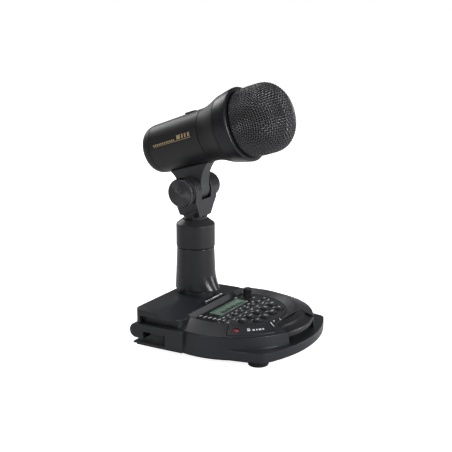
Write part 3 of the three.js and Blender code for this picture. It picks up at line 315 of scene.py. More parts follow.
collar_paint = finish(
    "collar_paint", (0.013, 0.0135, 0.016), roughness=0.42, bump=0.1,
    grain_size=0.6, grain_contrast=0.5, dust=0.03,
)
bracket_paint = finish(
    "bracket_paint", (0.022, 0.023, 0.026), roughness=0.42, bump=0.1,
    grain_size=0.7, grain_contrast=0.4, dust=0.03,
)
barrel_paint = finish(
    "barrel_paint", (0.0095, 0.0098, 0.0108), roughness=0.42, bump=0.1,
    grain_size=0.5, grain_contrast=0.5, dust=0.03,
)
cone_paint = finish(
    "cone_paint", (0.0075, 0.0077, 0.0085), roughness=0.5, bump=0.14, grain_size=0.5, dust=0.03,
)
band_paint = finish(
    "band_paint", (0.0155, 0.016, 0.018), roughness=0.34, bump=0.05, grain_size=0.5,
    dust=0.02, constants={"Metallic": 0.4},
)
wire_metal = finish(
    "wire_metal", (0.06, 0.06, 0.064), roughness=0.36, bump=0.0, grain_size=0.8,
    constants={"Metallic": 0.5},
)
foam = finish("foam", (0.006, 0.006, 0.0065), roughness=0.95, bump=0.7, grain_size=1.4)
steel = finish(
    "steel", (0.55, 0.55, 0.56), roughness=0.3, bump=0.05, grain_size=0.4,
    constants={"Metallic": 1.0},
)
contact_gold = finish(
    "contact_gold", (0.8, 0.6, 0.28), roughness=0.3, grain_size=0.4, constants={"Metallic": 1.0}
)
cast_iron = finish(
    "cast_iron", (0.05, 0.05, 0.052), roughness=0.7, bump=0.6, grain_size=1.6, grain_contrast=0.6
)
plate_paint = finish(
    "plate_paint", (0.012, 0.012, 0.014), roughness=0.55, bump=0.25, grain_size=0.5,
    constants={"Metallic": 0.1},
)
circuit_green = finish("circuit_green", (0.01, 0.06, 0.03), roughness=0.4, grain_contrast=0.6)
red_lens = finish(
    "red_lens", (0.22, 0.02, 0.022), roughness=0.12, bump=0.0,
    constants={"Emission Color": (1, 0.06, 0.05, 1), "Emission Strength": 0.03},
)
inner_plastic = finish("inner_plastic", (0.014, 0.014, 0.015), roughness=0.6, bump=0.2)
display_ink = finish("display_ink", (0.02, 0.035, 0.03), roughness=0.4, grain_contrast=0.3)


def make_turned_metal():
    """Dark turned metal, with rings round the clamp's axis and highlights drawn out by them."""
    material = finish(
        "turned_metal", (0.055, 0.055, 0.058), roughness=0.3, bump=0.0, grain_size=0.5,
        constants={"Metallic": 1.0, "Anisotropic": 0.92},
    )
    wiring = Wiring(material.node_tree)
    shader = material.node_tree.nodes["Principled BSDF"]
    low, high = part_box("clamp_knob")
    rings = wiring.add("ShaderNodeGroup", {"node_tree": TURNING})
    rings.inputs["Axis Y"].default_value = (low.y + high.y) / 2
    rings.inputs["Axis Z"].default_value = (low.z + high.z) / 2
    rings.inputs["Pitch"].default_value = 0.55
    relief = wiring.add("ShaderNodeBump", Strength=0.25, Distance=0.00008)
    wiring.feed(relief.inputs["Height"], rings.outputs["Rings"])
    wiring.feed(shader.inputs["Normal"], relief.outputs["Normal"])
    tangent = wiring.add("ShaderNodeTangent", {"direction_type": "RADIAL", "axis": "X"})
    wiring.feed(shader.inputs["Tangent"], tangent.outputs[0])
    return material


turned_metal = make_turned_metal()


def make_display_with_painted_glow():
    """The grey-green field of a reflective display, with faint grain."""
    # Painted light: the emission makes this reflective display glow though it has no lamp, standing in for
    # light that the clear window above it holds back.
    material = finish(
        "display_field_painted_glow", (0.13, 0.2, 0.16), roughness=0.35, bump=0.0, grain_size=3.0,
        grain_contrast=0.15, edge_wear=0.0, dust=0.0,
        constants={"Emission Color": (0.3, 0.5, 0.4, 1), "Emission Strength": 0.2},
    )
    return material


display_field_painted_glow = make_display_with_painted_glow()

clear_window = finish(
    "clear_window", (0.95, 0.98, 0.96), roughness=0.05, bump=0.0, edge_wear=0.0, dust=0.0,
    constants={"Transmission Weight": 1.0, "IOR": 1.2},
)


# ---------------------------------------------------------------- shape helpers
def rounded(points, radius, steps=3):
    """Turns each corner of a line of (a, b) points into a small arc.

    A point may carry its own radius as a third value. A line that ends where it starts is closed.
    """
    closed = len(points) > 2 and tuple(points[0][:2]) == tuple(points[-1][:2])
    line = points[:-1] if closed else points
    count = len(line)
    made = []
    for i, point in enumerate(line):
        here = Vector(point[:2])
        size = point[2] if len(point) > 2 else radius
        if size <= 0 or (not closed and i in (0, count - 1)):
            made.append(tuple(here))
            continue
        before = Vector(line[i - 1][:2]) - here
        after = Vector(line[(i + 1) % count][:2]) - here
        cut = min(size, 0.45 * before.length, 0.45 * after.length)
        start, end = here + before.normalized() * cut, here + after.normalized() * cut
        for k in range(steps + 1):
            t = k / steps
            made.append(tuple(start * (1 - t) ** 2 + here * 2 * t * (1 - t) + end * t * t))
    if closed:
        made.append(made[0])
    return made


def lathe(profile, segments=96, edge=0.35, wobble=None):
    """A body turned about Z from (radius, height) points. wobble(angle, radius) may change a radius."""
    profile = rounded(profile, edge)
    closed = profile[0] == profile[-1]
    if closed:
        profile = profile[:-1]
    bm = bmesh.new()
    rings = []
    for radius, height in profile:
        if radius < 1e-5:
            rings.append([bm.verts.new((0, 0, height))])
            continue
        ring = []
        for i in range(segments):
            angle = 2 * math.pi * i / segments
            r = wobble(angle, radius) if wobble else radius
            ring.append(bm.verts.new((r * math.cos(angle), r * math.sin(angle), height)))
        rings.append(ring)
    pairs = list(zip(rings, rings[1:])) + ([(rings[-1], rings[0])] if closed else [])
    for low, high in pairs:
        for i in range(segments):
            j = (i + 1) % segments
            corners = [low[i % len(low)], low[j % len(low)], high[j % len(high)], high[i % len(high)]]
            unique = list(dict.fromkeys(corners))
            if len(unique) > 2:
                bm.faces.new(unique)
    bmesh.ops.recalc_face_normals(bm, faces=bm.faces)
    return bm


def prism(outline, low, high):
    """A plan outline raised from low to high."""
    bm = bmesh.new()
    bottom = bm.faces.new([bm.verts.new((x, y, low)) for x, y in outline])
    made = bmesh.ops.extrude_face_region(bm, geom=[bottom])
    top = [v for v in made["geom"] if isinstance(v, bmesh.types.BMVert)]
    bmesh.ops.translate(bm, verts=top, vec=(0, 0, high - low))
    bmesh.ops.recalc_face_normals(bm, faces=bm.faces)
    return bm


def block(x0, x1, y0, y1, z0, z1):
    return prism([(x0, y0), (x1, y0), (x1, y1), (x0, y1)], z0, z1)


def cylinder(x, y, z0, z1, radius, segments=48):
    bm = lathe([(0, z0), (radius, z0), (radius, z1), (0, z1)], segments, edge=0)
    return moved(bm, Matrix.Translation((x, y, 0)))


def moved(bm, matrix):
    bmesh.ops.transform(bm, matrix=matrix, verts=bm.verts)
    if matrix.determinant() < 0:
        bmesh.ops.reverse_faces(bm, faces=bm.faces)
    return bm


def merged(*parts):
    """Several separate shapes in one mesh."""
    together = bmesh.new()
    for part in parts:
        mesh = bpy.data.meshes.new("part")
        part.to_mesh(mesh)
        part.free()
        together.from_mesh(mesh)
        bpy.data.meshes.remove(mesh)
    return together


def bevelled(bm, width, segments=3, angle=30):
    """Rounds the edges that are sharper than the angle."""
    bmesh.ops.remove_doubles(bm, verts=bm.verts, dist=1e-4)
    limit = math.radians(angle)
    sharp = [e for e in bm.edges if len(e.link_faces) == 2 and e.calc_face_angle(0) > limit]
    bmesh.ops.bevel(
        bm, geom=sharp, offset=width, segments=segments, profile=0.5, affect="EDGES",
        clamp_overlap=True,
    )
    return bm


def carve(bm, steps, width=0.0, angle=30):
    """Joins ("+"), cuts ("-") or keeps the overlap ("&") with other shapes, in order."""
    operations = {"+": "UNION", "-": "DIFFERENCE", "&": "INTERSECT"}
    mesh = bpy.data.meshes.new("carved")
    bm.to_mesh(mesh)
    bm.free()
    body = bpy.data.objects.new("carved", mesh)
    scene.collection.objects.link(body)
    tools = []
    for sign, shape in steps:
        tool_mesh = bpy.data.meshes.new("tool")
        shape.to_mesh(tool_mesh)
        shape.free()
        tool = bpy.data.objects.new("tool", tool_mesh)
        scene.collection.objects.link(tool)
        tools.append(tool)
        modifier = body.modifiers.new("carve", "BOOLEAN")
        modifier.solver = "EXACT"
        modifier.operation = operations[sign]
        modifier.object = tool
    if width:
        edge = body.modifiers.new("edge", "BEVEL")
        edge.width = width
        edge.segments = 2
        edge.limit_method = "ANGLE"
        edge.angle_limit = math.radians(angle)
        edge.use_clamp_overlap = False
        edge.miter_outer = "MITER_ARC"
    graph = bpy.context.evaluated_depsgraph_get()
    done = bmesh.new()
    done.from_mesh(body.evaluated_get(graph).to_mesh())
    for obj in (body, *tools):
        bpy.data.objects.remove(obj)
    return done


def made(name, bm, material, body, nodes=(), slot=None, place=TO_FRAME, sharp=35, weigh=True):
    """Puts a shape into the object's frame as a piece on a body."""
    bmesh.ops.transform(bm, matrix=place, verts=bm.verts)
    mesh = bpy.data.meshes.new(name)
    bm.to_mesh(mesh)
    bm.free()
    for polygon in mesh.polygons:
        polygon.use_smooth = True
    mesh.set_sharp_from_angle(angle=math.radians(sharp))
    mesh.materials.append(material)
    piece = bpy.data.objects.new(name, mesh)
    scene.collection.objects.link(piece)
    if weigh:
        weights = piece.modifiers.new("weights", "WEIGHTED_NORMAL")
        weights.keep_sharp = True
    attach(piece, body)
    if nodes:
        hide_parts(*([nodes] if isinstance(nodes, str) else nodes))
    return piece


def arc(cx, cy, radius, start, end, steps=8):
    """Points on an arc, with its angles in degrees."""
    return [
        (
            cx + radius * math.cos(math.radians(start + (end - start) * i / steps)),
            cy + radius * math.sin(math.radians(start + (end - start) * i / steps)),
        )
        for i in range(steps + 1)
    ]


def rounded_rectangle(width, depth, corner, steps=5):
    x, y = width / 2 - corner, depth / 2 - corner
    return (
        arc(x, y, corner, 0, 90, steps)
        + arc(-x, y, corner, 90, 180, steps)
        + arc(-x, -y, corner, 180, 270, steps)
        + arc(x, -y, corner, 270, 360, steps)
    )


def at(x, y, z=0.0, turn=0.0):
    return Matrix.Translation((x, y, z)) @ Matrix.Rotation(math.radians(turn), 4, "Z")


SIDEWAYS = Matrix(((0, 0, 1, 0), (1, 0, 0, 0), (0, 1, 0, 0), (0, 0, 0, 1)))


def side_prism(outline, half):
    """A side outline of (y, z) points, made thick along X."""
    return moved(prism(outline, -half, half), SIDEWAYS)


def side_slab(outline, x0, x1):
    """A side outline of (y, z) points, made thick along X between two sides."""
    return moved(prism(outline, x0, x1), SIDEWAYS)


def cross_cylinder(x0, x1, y, z, radius, segments=48):
    return moved(cylinder(0, 0, x0, x1, radius, segments),
                 Matrix.Translation((0, y, z)) @ Matrix.Rotation(math.pi / 2, 4, "Y"))


# ---------------------------------------------------------------- base
def behind(y):
    return block(-82, 82, y, 84, 0, 50)


def chin_outline():
    """The front ledge: straight sides off the round base, rounded corners and a shallow arc."""
    side = Vector((SKIRT_RADIUS * math.cos(math.radians(24.6)),
                   -SKIRT_RADIUS * math.sin(math.radians(24.6))))
    corner, apex = Vector((66, -66.5)), Vector((0, -98.5))
    start, end = corner.lerp(side, 0.14), corner.lerp(apex, 0.07)

    def curve(a, b, c, steps):
        return [a * (1 - t) ** 2 + b * 2 * t * (1 - t) + c * t * t
                for t in (i / steps for i in range(steps + 1))]

    right = [side] + curve(start, corner, end, 8)
    front = curve(end, apex, Vector((-end.x, end.y)), 40)[1:-1]
    left = [Vector((-p.x, p.y)) for p in reversed(right)]
    half = [(side.x, 0)] + [tuple(p) for p in right + front + left] + [(-side.x, 0)]
    return half[::-1]


def bar_pocket(z0):
    return block(-BAR_HALF - 0.35, BAR_HALF + 0.35, -84, -BAR_POCKET, z0, 45)


def rail_side(floor, end_radius):
    """The rear block from the side: a round upper end over a thin floor."""
    middle = RIM_Z - end_radius
    return [
        (14, CASE_Z), (FLOOR_REAR, CASE_Z), (FLOOR_REAR, floor), (66, floor), (66, middle - end_radius),
        *arc(68.7, middle, end_radius, -90, 90, 24), (14, RIM_Z),
    ]


def lower_case():
    rail_inner = RAIL_HALF - RAIL_WIDTH
    floor = 8.9
    end_radius = (RIM_Z - floor - 3.6) / 2
    disc = lathe([(0, CASE_Z), (SKIRT_RADIUS, CASE_Z), (RIM_RADIUS, RIM_Z), (0, RIM_Z)], 144, 0)
    inner_right = BLOCK_RIGHT - 2.6
    window = [(-82, 35), (-rail_inner, 35), (-rail_inner, BAY_FRONT), (-rail_inner + 1, BAY_FRONT),
              (-rail_inner + 1, 60), (-82, 60)]
    hollow = [
        ("-", block(-rail_inner, inner_right, 0, BAY_FRONT - 2.6, floor, 29)),
        ("-", block(-rail_inner, inner_right, BAY_FRONT, 84, floor, 29)),
        ("-", prism(window, floor, floor + 11)),
        ("-", carve(cylinder(0, 0, floor, 29, RIM_RADIUS - 2.6, 144), [
            ("-", block(-82, 82, 0.5, 84, 0, 50)), ("-", block(-29, 29, -82, -56.9, 0, 50))])),
        ("-", block(-82, 82, 59.5, 84, floor, RIM_Z - 2 * end_radius)),
    ]
    sockets = [("-", block(x - 7.8, x + 7.8, 32, 47, 10, 24.6)) for x in (-42, -20)]
    jacks = [
        ("-", moved(cylinder(x, 17.3, -47, -32, r + 0.3), Matrix.Rotation(math.pi / 2, 4, "X")))
        for x, r in ((12, 4.6), (40, 6))
    ]
    shape = carve(disc, [
        ("-", behind(BAY_FRONT)),
        ("+", prism(chin_outline(), CASE_Z, CASE_Z + 9)),
        ("+", side_slab(rail_side(floor, end_radius), -RAIL_HALF, BLOCK_RIGHT)),
        *hollow, *sockets, *jacks,
        ("-", bar_pocket(CASE_Z + 9)),
    ], width=0.7, angle=35)
    made("lower_case_shell", shape, housing_plastic, "base", "lower_case", "housing")


def housing_plan():
    x, front, y, c = HOUSING_HALF, HOUSING_FRONT - 4, HOUSING_REAR, 7
    sweep = []
    for i in range(17):
        t = i / 16
        sweep.append((x - (x - RIDGE_RADIUS) * t * t, front + 16 * (1 - t) ** 2))
    right = sweep[::-1]
    left = [(-px, py) for px, py in sweep]
    return left + right + arc(x - c, y - c, c, 0, 90, 10) + arc(-x + c, y - c, c, 90, 180, 10)


def top_cover():
    above = HOUSING_Z + 2
    slope_z = HOUSING_Z - SLOPE_DROP
    slope = SLOPE_DROP / (SLOPE_REAR - HOUSING_FRONT)
    side = [
        (0, COVER_Z), (HOUSING_REAR + 2, COVER_Z), (HOUSING_REAR + 2, HOUSING_Z - 2),
        *arc(HOUSING_REAR - 2, HOUSING_Z - 2, 2, 0, 90, 5),
        (SLOPE_REAR + 4, HOUSING_Z), (SLOPE_REAR, HOUSING_Z - 0.3), (SLOPE_REAR - 4, HOUSING_Z - 1.2),
        (0, slope_z - slope * HOUSING_FRONT),
    ]
    shoulder = HOUSING_Z - 1.4
    section = [
        (-82, COVER_Z - 1), (-82, shoulder - 3), (-HOUSING_HALF - 0.1, shoulder - 1.5),
        (-HOUSING_HALF + 1.2, shoulder - 0.3), (8 - HOUSING_HALF, HOUSING_Z),
        (ROOF_EDGE - 4, HOUSING_Z), (ROOF_EDGE, HOUSING_Z - 0.4),
        (BLOCK_RIGHT, HOUSING_Z - ROOF_FALL * (BLOCK_RIGHT - ROOF_EDGE)),
        (BLOCK_RIGHT, COVER_Z - 1),
    ]
    across = moved(prism(section, -74, 2), Matrix.Rotation(math.pi / 2, 4, "X"))
    housing = carve(prism(housing_plan(), COVER_Z, above), [
        ("&", side_prism(side, 84)), ("&", across),
    ])
    cone = [(0, COVER_Z), (RIM_RADIUS, COVER_Z), (RIDGE_RADIUS, RIDGE_Z), (0, RIDGE_Z)]
    foot = PANEL_RADIUS + 0.3
    rise = (RIDGE_RADIUS - PANEL_RADIUS) / (RIDGE_Z - PANEL_Z)
    bowl = lathe([
        (0, 28.8), (foot, 28.8), (foot, PANEL_Z), (RIDGE_RADIUS, RIDGE_Z),
        (RIDGE_RADIUS + rise * (above - RIDGE_Z), above), (0, above),
    ], 144, 0)
    rear = [
        (21.3, 26), (21.3, PANEL_Z), (HOUSING_FRONT + 0.4, slope_z + 0.9),
        (HOUSING_FRONT + 4, above + 1),
        (82, above + 2), (82, 26),
    ]
    dish = carve(bowl, [("-", side_prism(rear, 82))])
    pocket = carve(block(-81, -73, 18, 64, 26, COVER_Z + 7.6), [
        ("-", lathe([(0, 10), (RIM_RADIUS, 10), *cone[1:]], 144, 0))])
    ledge = COVER_Z + 0.8
    fall = [(ROOF_EDGE, HOUSING_Z), (ROOF_EDGE, 46), (79, 46), (79, ledge),
            (ROOF_EDGE + (HOUSING_Z - ledge) / ROOF_FALL, ledge)]
    fall_away = moved(prism(fall, -72, -22), Matrix.Rotation(math.pi / 2, 4, "X"))
    opening = carve(cylinder(0, 0, 26, 30, PANEL_RADIUS - 1.1, 96), [
        ("-", block(-82, 82, 19.9, 84, 20, 40))])
    shape = carve(lathe(cone, 144, 0), [
        ("-", behind(BAY_FRONT)),
        ("+", housing),
        ("-", dish),
        ("-", opening),
        ("-", fall_away),
        ("-", pocket),
        ("-", cylinder(0, COLUMN_Y, 35.7, above, 19.5, 96)),
        ("-", bar_pocket(26)),
        ("-", lock_block(0.35, 20)),
        ("-", badge_block(0.3, -0.9, 3)),
    ], width=0.5, angle=28)
    made("top_cover_shell", shape, housing_plastic, "base", "top_cover", "housing")


def cone_sector(inner, outer, start, end, lift, depth, steps=24):
    """A curved slab that follows the cone, between two radii and two angles."""
    bm = bmesh.new()
    rows = []
    for i in range(steps + 1):
        a = math.radians(start + (end - start) * i / steps)
        rows.append([
            bm.verts.new((r * math.cos(a), r * math.sin(a), cone_z(r) + z))
            for r, z in ((inner, lift - depth), (outer, lift - depth), (outer, lift), (inner, lift))
        ])
    for a, b in zip(rows, rows[1:]):
        for k in range(4):
            bm.faces.new((a[k], a[(k + 1) % 4], b[(k + 1) % 4], b[k]))
    bm.faces.new(rows[0][::-1])
    bm.faces.new(rows[-1])
    bmesh.ops.recalc_face_normals(bm, faces=bm.faces)
    return bm


def lock_block(grow, depth):
    side = math.degrees(grow / LOCK_INNER)
    return cone_sector(LOCK_INNER - grow, LOCK_OUTER + grow, LOCK_FROM - side, LOCK_TO + side,
                       4, depth)


BADGE_SLOPE = math.atan2(SLOPE_DROP, SLOPE_REAR - HOUSING_FRONT)
BADGE_Z = HOUSING_Z - SLOPE_DROP + math.tan(BADGE_SLOPE) * 2.6
BADGE_PLACE = Matrix.Translation((0, 26.6, BADGE_Z)) @ Matrix.Rotation(BADGE_SLOPE, 4, "X")


def badge_block(grow, z0, z1):
    plan = rounded_rectangle(40 + 2 * grow, 3.6 + 2 * grow, 1 + grow)
    return moved(prism(plan, z0, z1), BADGE_PLACE)


def on_cone(radius, degrees, lift=0.0):
    """A place on the cone, with X along the edge and Y up the slope."""
    a = math.radians(degrees)
    slope = math.atan2(RIDGE_Z - RIM_Z, RIM_RADIUS - RIDGE_RADIUS)
    return (
        Matrix.Translation((radius * math.cos(a), radius * math.sin(a), cone_z(radius) + lift))
        @ Matrix.Rotation(a + math.pi / 2, 4, "Z")
        @ Matrix.Rotation(slope, 4, "X")
    )


def print_bar(width, depth, thickness=0.08, corner=0.25):
    return prism(rounded_rectangle(width, depth, min(corner, width / 2.01, depth / 2.01), 3),
                 0, thickness)


def feet():
    for place, x, y in (
        ("front_left", -54, -55), ("front_right", 54, -55),
        ("rear_left", -54, 56), ("rear_right", 38, 56),
    ):
        shape = lathe([
            (0, 0.35), (7.4, 0.35), (7.8, 0), (9.3, 0), (10, 0.7), (9.75, 4.5), (0, 4.5),
        ], 64, 0.3)
        made("foot_pad_" + place, moved(shape, at(x, y)), rubber, "base", "foot_" + place, "rubber")


def badge():
    plate = bevelled(badge_block(0, -0.6, 1.6), 0.45)
    made("badge_bar", plate, knob_plastic, "base", "badge_plate", "trim")
    marks = [moved(print_bar(width, 1.5, 0.1), BADGE_PLACE @ at(x, 0, 1.6))
             for x, width in ((-15.4, 3.2), (-10.6, 2.4), (-6.8, 1.4), (2.4, 13), (12.6, 4.2))]
    made("badge_marks", merged(*marks), white_print, "base", slot="housing")


# ---------------------------------------------------------------- control panel
SMALL_X = [(i - 3.5) * 11.8 for i in range(8)]
SMALL_Y = -9.5
ROUND_KEYS = [(15 * k, -24.5) for k in (-2, -1, 0, 1, 2)] + [(15 * k, -37) for k in (-1.5, -0.5, 0.5, 1.5)]
KNOB_X, KNOB_Y = 41.2, 10.5
DISPLAY_X, DISPLAY_Y = 2.5, 10.4


def control_panel():
    rim = [(0, 29.1), (PANEL_RADIUS, 29.1), (PANEL_RADIUS, PANEL_Z), (0, PANEL_Z)]
    holes = [cylinder(x, y, 27, 33, 5.05) for x, y in ROUND_KEYS]
    holes += [block(x - 4.35, x + 4.35, SMALL_Y - 2.85, SMALL_Y + 2.85, 27, 33) for x in SMALL_X]
    holes.append(cylinder(KNOB_X, KNOB_Y, 27, 33, 2.3, 32))
    shape = carve(lathe(rim, 144, 0), [
        ("-", block(-60, 60, 21, 60, 20, 40)),
        ("-", block(DISPLAY_X - 27, DISPLAY_X + 27, DISPLAY_Y - 7.5, DISPLAY_Y + 7.5, 27, 33)),
        ("-", block(DISPLAY_X - 28.8, DISPLAY_X + 28.8, DISPLAY_Y - 9.3, DISPLAY_Y + 9.3, 30, 33)),
        ("-", merged(*holes)),
    ], width=0.3)
    made("panel_face", shape, panel_plastic, "base", "control_panel", "panel")


def display():
    window = prism(rounded_rectangle(57, 18, 1), 30.3, 31.0)
    made("window_pane", bevelled(moved(window, at(DISPLAY_X, DISPLAY_Y)), 0.15, 2),
         clear_window, "base", "display_window", "lens")
    field = block(DISPLAY_X - 26.9, DISPLAY_X + 26.9, DISPLAY_Y - 7.4, DISPLAY_Y + 7.4, 26.9, 30.1)
    made("display_cell", bevelled(field, 0.2), display_field_painted_glow, "base", "display_module",
         "liquid_crystal")
    # A band graph, a row of small signs above it and a scale below.
    inks = []
    for i in range(30):
        x = -20 + i * 1.38
        height = 2.2 + 2.2 * math.sin(i * 0.42 + 0.6) ** 2 + 1.3 * math.sin(i * 0.9) ** 2
        inks.append(moved(print_bar(1.3, height, 0.05, 0.1), at(x, -5.4 + height / 2)))
    for i in range(9):
        inks.append(moved(print_bar(2.2, 1.2, 0.05, 0.1), at(-20 + i * 5, 5.6)))
    inks.append(moved(print_bar(42, 0.3, 0.05, 0.1), at(0, -6)))
    shape = moved(merged(*inks), at(DISPLAY_X, DISPLAY_Y, 30.12))
    made("display_signs", shape, display_ink, "base", slot="liquid_crystal", weigh=False)


def frame_mark(width, depth, line, thickness=0.08):
    """A thin rectangular outline, as four bars."""
    x, y = width / 2, depth / 2
    return merged(
        moved(print_bar(width, line, thickness, 0.05), at(0, y)),
        moved(print_bar(width, line, thickness, 0.05), at(0, -y)),
        moved(print_bar(line, depth - line, thickness, 0.05), at(x, 0)),
        moved(print_bar(line, depth - line, thickness, 0.05), at(-x, 0)),
    )


def panel_marks():
    top = PANEL_Z + 0.01
    bright, dim = [], []
    for i in range(5):
        bright.append(moved(print_bar(4.4, 1.5), at(-38, 19.2 - i * 5.3, top, -14)))
    for i in range(8):
        bright.append(moved(print_bar(4.2 - (i % 3) * 0.7, 1.1), at(-31 + i * 8.4, -3.2, top)))
    for x in SMALL_X:
        dim.append(moved(frame_mark(9.9, 6.9, 0.45), at(x, SMALL_Y, top)))
        bright.append(moved(print_bar(3.4, 0.9), at(x, -14.4, top)))
    for k, (x, y) in enumerate(ROUND_KEYS):
        bright.append(moved(print_bar(4.6 - (k % 2), 1.0), at(x, y + 6.4, top)))
    bright.append(moved(print_bar(5, 1.2), at(30.5, 18.4, top)))
    bright.append(moved(print_bar(3.4, 1.0), at(41, 2.6, top)))
    made("panel_print", merged(*bright), white_print, "base", slot="panel", weigh=False)
    made("key_outlines", merged(*dim), grey_print, "base", slot="panel", weigh=False)


def keys():
    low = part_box("round_key_1")[0].z / MM
    for i, (x, y) in enumerate(ROUND_KEYS, 1):
        cap = lathe([
            (0, low), (5.6, low), (5.6, low + 0.8), (4.7, low + 0.8), (4.7, 32.3), (4.1, 32.95),
            (2.6, 33.1), (1.6, 32.95), (0, 32.85),
        ], 48, 0.25)
        name = "round_key_%d" % i
        made("round_cap_%d" % i, moved(cap, at(x, y)), key_plastic, name, name, "keycap")
        icon = [cylinder(0, 0.2, 0, 0.1, 1.15, 20)]
        if i % 3 == 1:
            icon.append(moved(print_bar(4.2, 0.7, 0.1), at(0, -1.9)))
        elif i % 3 == 2:
            icon += [moved(print_bar(0.7, 1.8, 0.1), at(s * 2.1, 0)) for s in (-1, 1)]
        made("round_icon_%d" % i, moved(merged(*icon), at(x, y, 32.98)), key_print, name,
             slot="keycap", weigh=False)
    for i, x in enumerate(SMALL_X, 1):
        flange = block(x - 4.8, x + 4.8, SMALL_Y - 3.3, SMALL_Y + 3.3, low, low + 0.8)
        cap = bevelled(moved(prism(rounded_rectangle(8, 5, 0.9), low + 0.7, 32.5), at(x, SMALL_Y)),
                       0.35)
        name = "small_key_%d" % i
        made("small_cap_%d" % i, merged(flange, cap), key_plastic, name, name, "keycap")
        icon = print_bar(3.0 if i % 2 else 2.0, 1.3, 0.1)
        made("small_icon_%d" % i, moved(icon, at(x, SMALL_Y, 32.48)), key_print, name,
             slot="keycap", weigh=False)


def tuning_knob():
    teeth = 28

    def flute(angle, radius):
        return radius - 0.32 * (0.5 + 0.5 * math.cos(teeth * angle)) if radius > 4.2 else radius

    shape = lathe([
        (0, 28.1), (2, 28.1), (2, 31.4), (4.4, 31.4), (4.4, 39.2), (4.0, 40.1), (3.3, 40.4),
        (2.4, 40.1), (0, 40.0),
    ], teeth * 6, 0.25, flute)
    made("tuning_cap", moved(shape, at(KNOB_X, KNOB_Y)), knob_plastic, "tuning_knob",
         "encoder_knob", "trim")
    pointer = moved(print_bar(0.6, 2.2, 0.12), at(KNOB_X, KNOB_Y + 1.6, 40.2))
    made("tuning_pointer", pointer, key_print, "tuning_knob", slot="trim", weigh=False)


# ---------------------------------------------------------------- transmit bar and lock key
BAR_UNDER = cone_z(RIM_RADIUS) - 5.7
BAR_PIN_Y, BAR_PIN_Z = -62.7, cone_z(62) - 4.4


def transmit_bar():
    outer = RIM_RADIUS - 0.2
    profile = [
        (62, cone_z(62) - 0.4, 0.3), (66.2, cone_z(66.2) - 0.1, 0.8), (67.6, cone_z(67.6) - 0.3, 0.6),
        (69.6, cone_z(69.6) - 1.9, 1.4), (73.6, cone_z(73.6) - 2.0, 1.4),
        (75.6, cone_z(75.6) - 0.5, 0.7), (outer - 0.3, cone_z(outer) - 0.3, 0.6),
        (outer + 0.4, cone_z(outer) - 1.6, 0.6), (outer, BAR_UNDER, 0.5), (62, BAR_UNDER + 2, 0.4),
        (62, cone_z(62) - 0.4),
    ]
    back = -BAR_POCKET - 0.35
    side = [(-82, 0), (back - BAR_PIN_Z * math.tan(math.radians(9)), 0), (back, BAR_PIN_Z),
            (back, 50), (-82, 50)]
    hub = block(-BAR_HALF, BAR_HALF, BAR_PIN_Y - 2.4, BAR_PIN_Y + 2.4, BAR_PIN_Z - 2.4, BAR_PIN_Z + 1)
    shape = carve(lathe(profile, 288, 0.4), [
        ("&", side_slab(side, -BAR_HALF, BAR_HALF)),
        ("+", hub),
        ("-", cross_cylinder(-30, 30, BAR_PIN_Y, BAR_PIN_Z, 1.5, 24)),
    ], width=0.35, angle=50)
    made("transmit_paddle", shape, bar_plastic, "transmit_bar", "transmit_bar", "trim")


def lock_key():
    cap = cone_sector(LOCK_INNER, LOCK_OUTER, LOCK_FROM, LOCK_TO, 0.5, 2.9, 40)
    middle = math.radians((LOCK_FROM + LOCK_TO) / 2)
    radius = (LOCK_INNER + LOCK_OUTER) / 2
    stem = cylinder(radius * math.cos(middle), radius * math.sin(middle), 26.6, 30.5, 2.5, 24)
    a = math.radians(209.5)
    x, y = radius * math.cos(a), radius * math.sin(a)
    z = cone_z(radius)
    shape = carve(bevelled(cap, 0.6, 3, 40), [
        ("+", stem), ("-", cylinder(x, y, z - 1.4, z + 4, 2.9, 40)),
    ])
    made("lock_cap", shape, housing_plastic, "lock", "lock_key", "housing")
    lens = lathe([(0, z - 1.1), (2.6, z - 1.1), (2.6, z + 0.1), (2.1, z + 0.6), (1.2, z + 0.85),
                  (0, z + 0.9)], 40, 0.2)
    made("lock_lamp", moved(lens, at(x, y)), red_lens, "lock", "lock_lens", "red_lens")
    # A padlock sign and plain bars beside it.
    shackle = [moved(print_bar(0.55, 1.5, 0.1, 0.2), at(s * 0.95, 1.4)) for s in (-1, 1)]
    shackle.append(moved(print_bar(2.45, 0.55, 0.1, 0.2), at(0, 2.3)))
    signs = [moved(merged(print_bar(3.0, 2.1, 0.1, 0.3), *shackle), on_cone(68.6, 219.6, 0.56))]
    for k, width in enumerate((2.2, 1.5, 2.6, 1.6)):
        signs.append(moved(print_bar(width, 2.0, 0.1, 0.3), on_cone(68.6, 223.6 + 2.7 * k, 0.56)))
    made("lock_signs", merged(*signs), white_print, "lock", slot="housing", weigh=False)
    # A bright line on the cover beside the key.
    line = moved(print_bar(0.9, 15.6, 0.1, 0.3), on_cone(68.3, 238.9 + 3.4, 0.02))
    dots = [moved(cylinder(0, 0, 0, 0.1, 0.8, 16), on_cone(60.6, 246.5, 0.02)),
            moved(print_bar(0.9, 2.6, 0.1, 0.3), on_cone(60.8, 254.2, 0.02))]
    made("cover_marks", merged(line, *dots), white_print, "base", slot="housing", weigh=False)


# ---------------------------------------------------------------- stand
def plinth():
    shape = lathe([(0, 36), (19.2, 36), (19.2, 46, 0.8), (18.2, 47, 0.5), (0, 47)], 128)
    made("plinth_ring", moved(shape, at(0, COLUMN_Y)), housing_plastic, "base", "column_plinth",
         "housing")


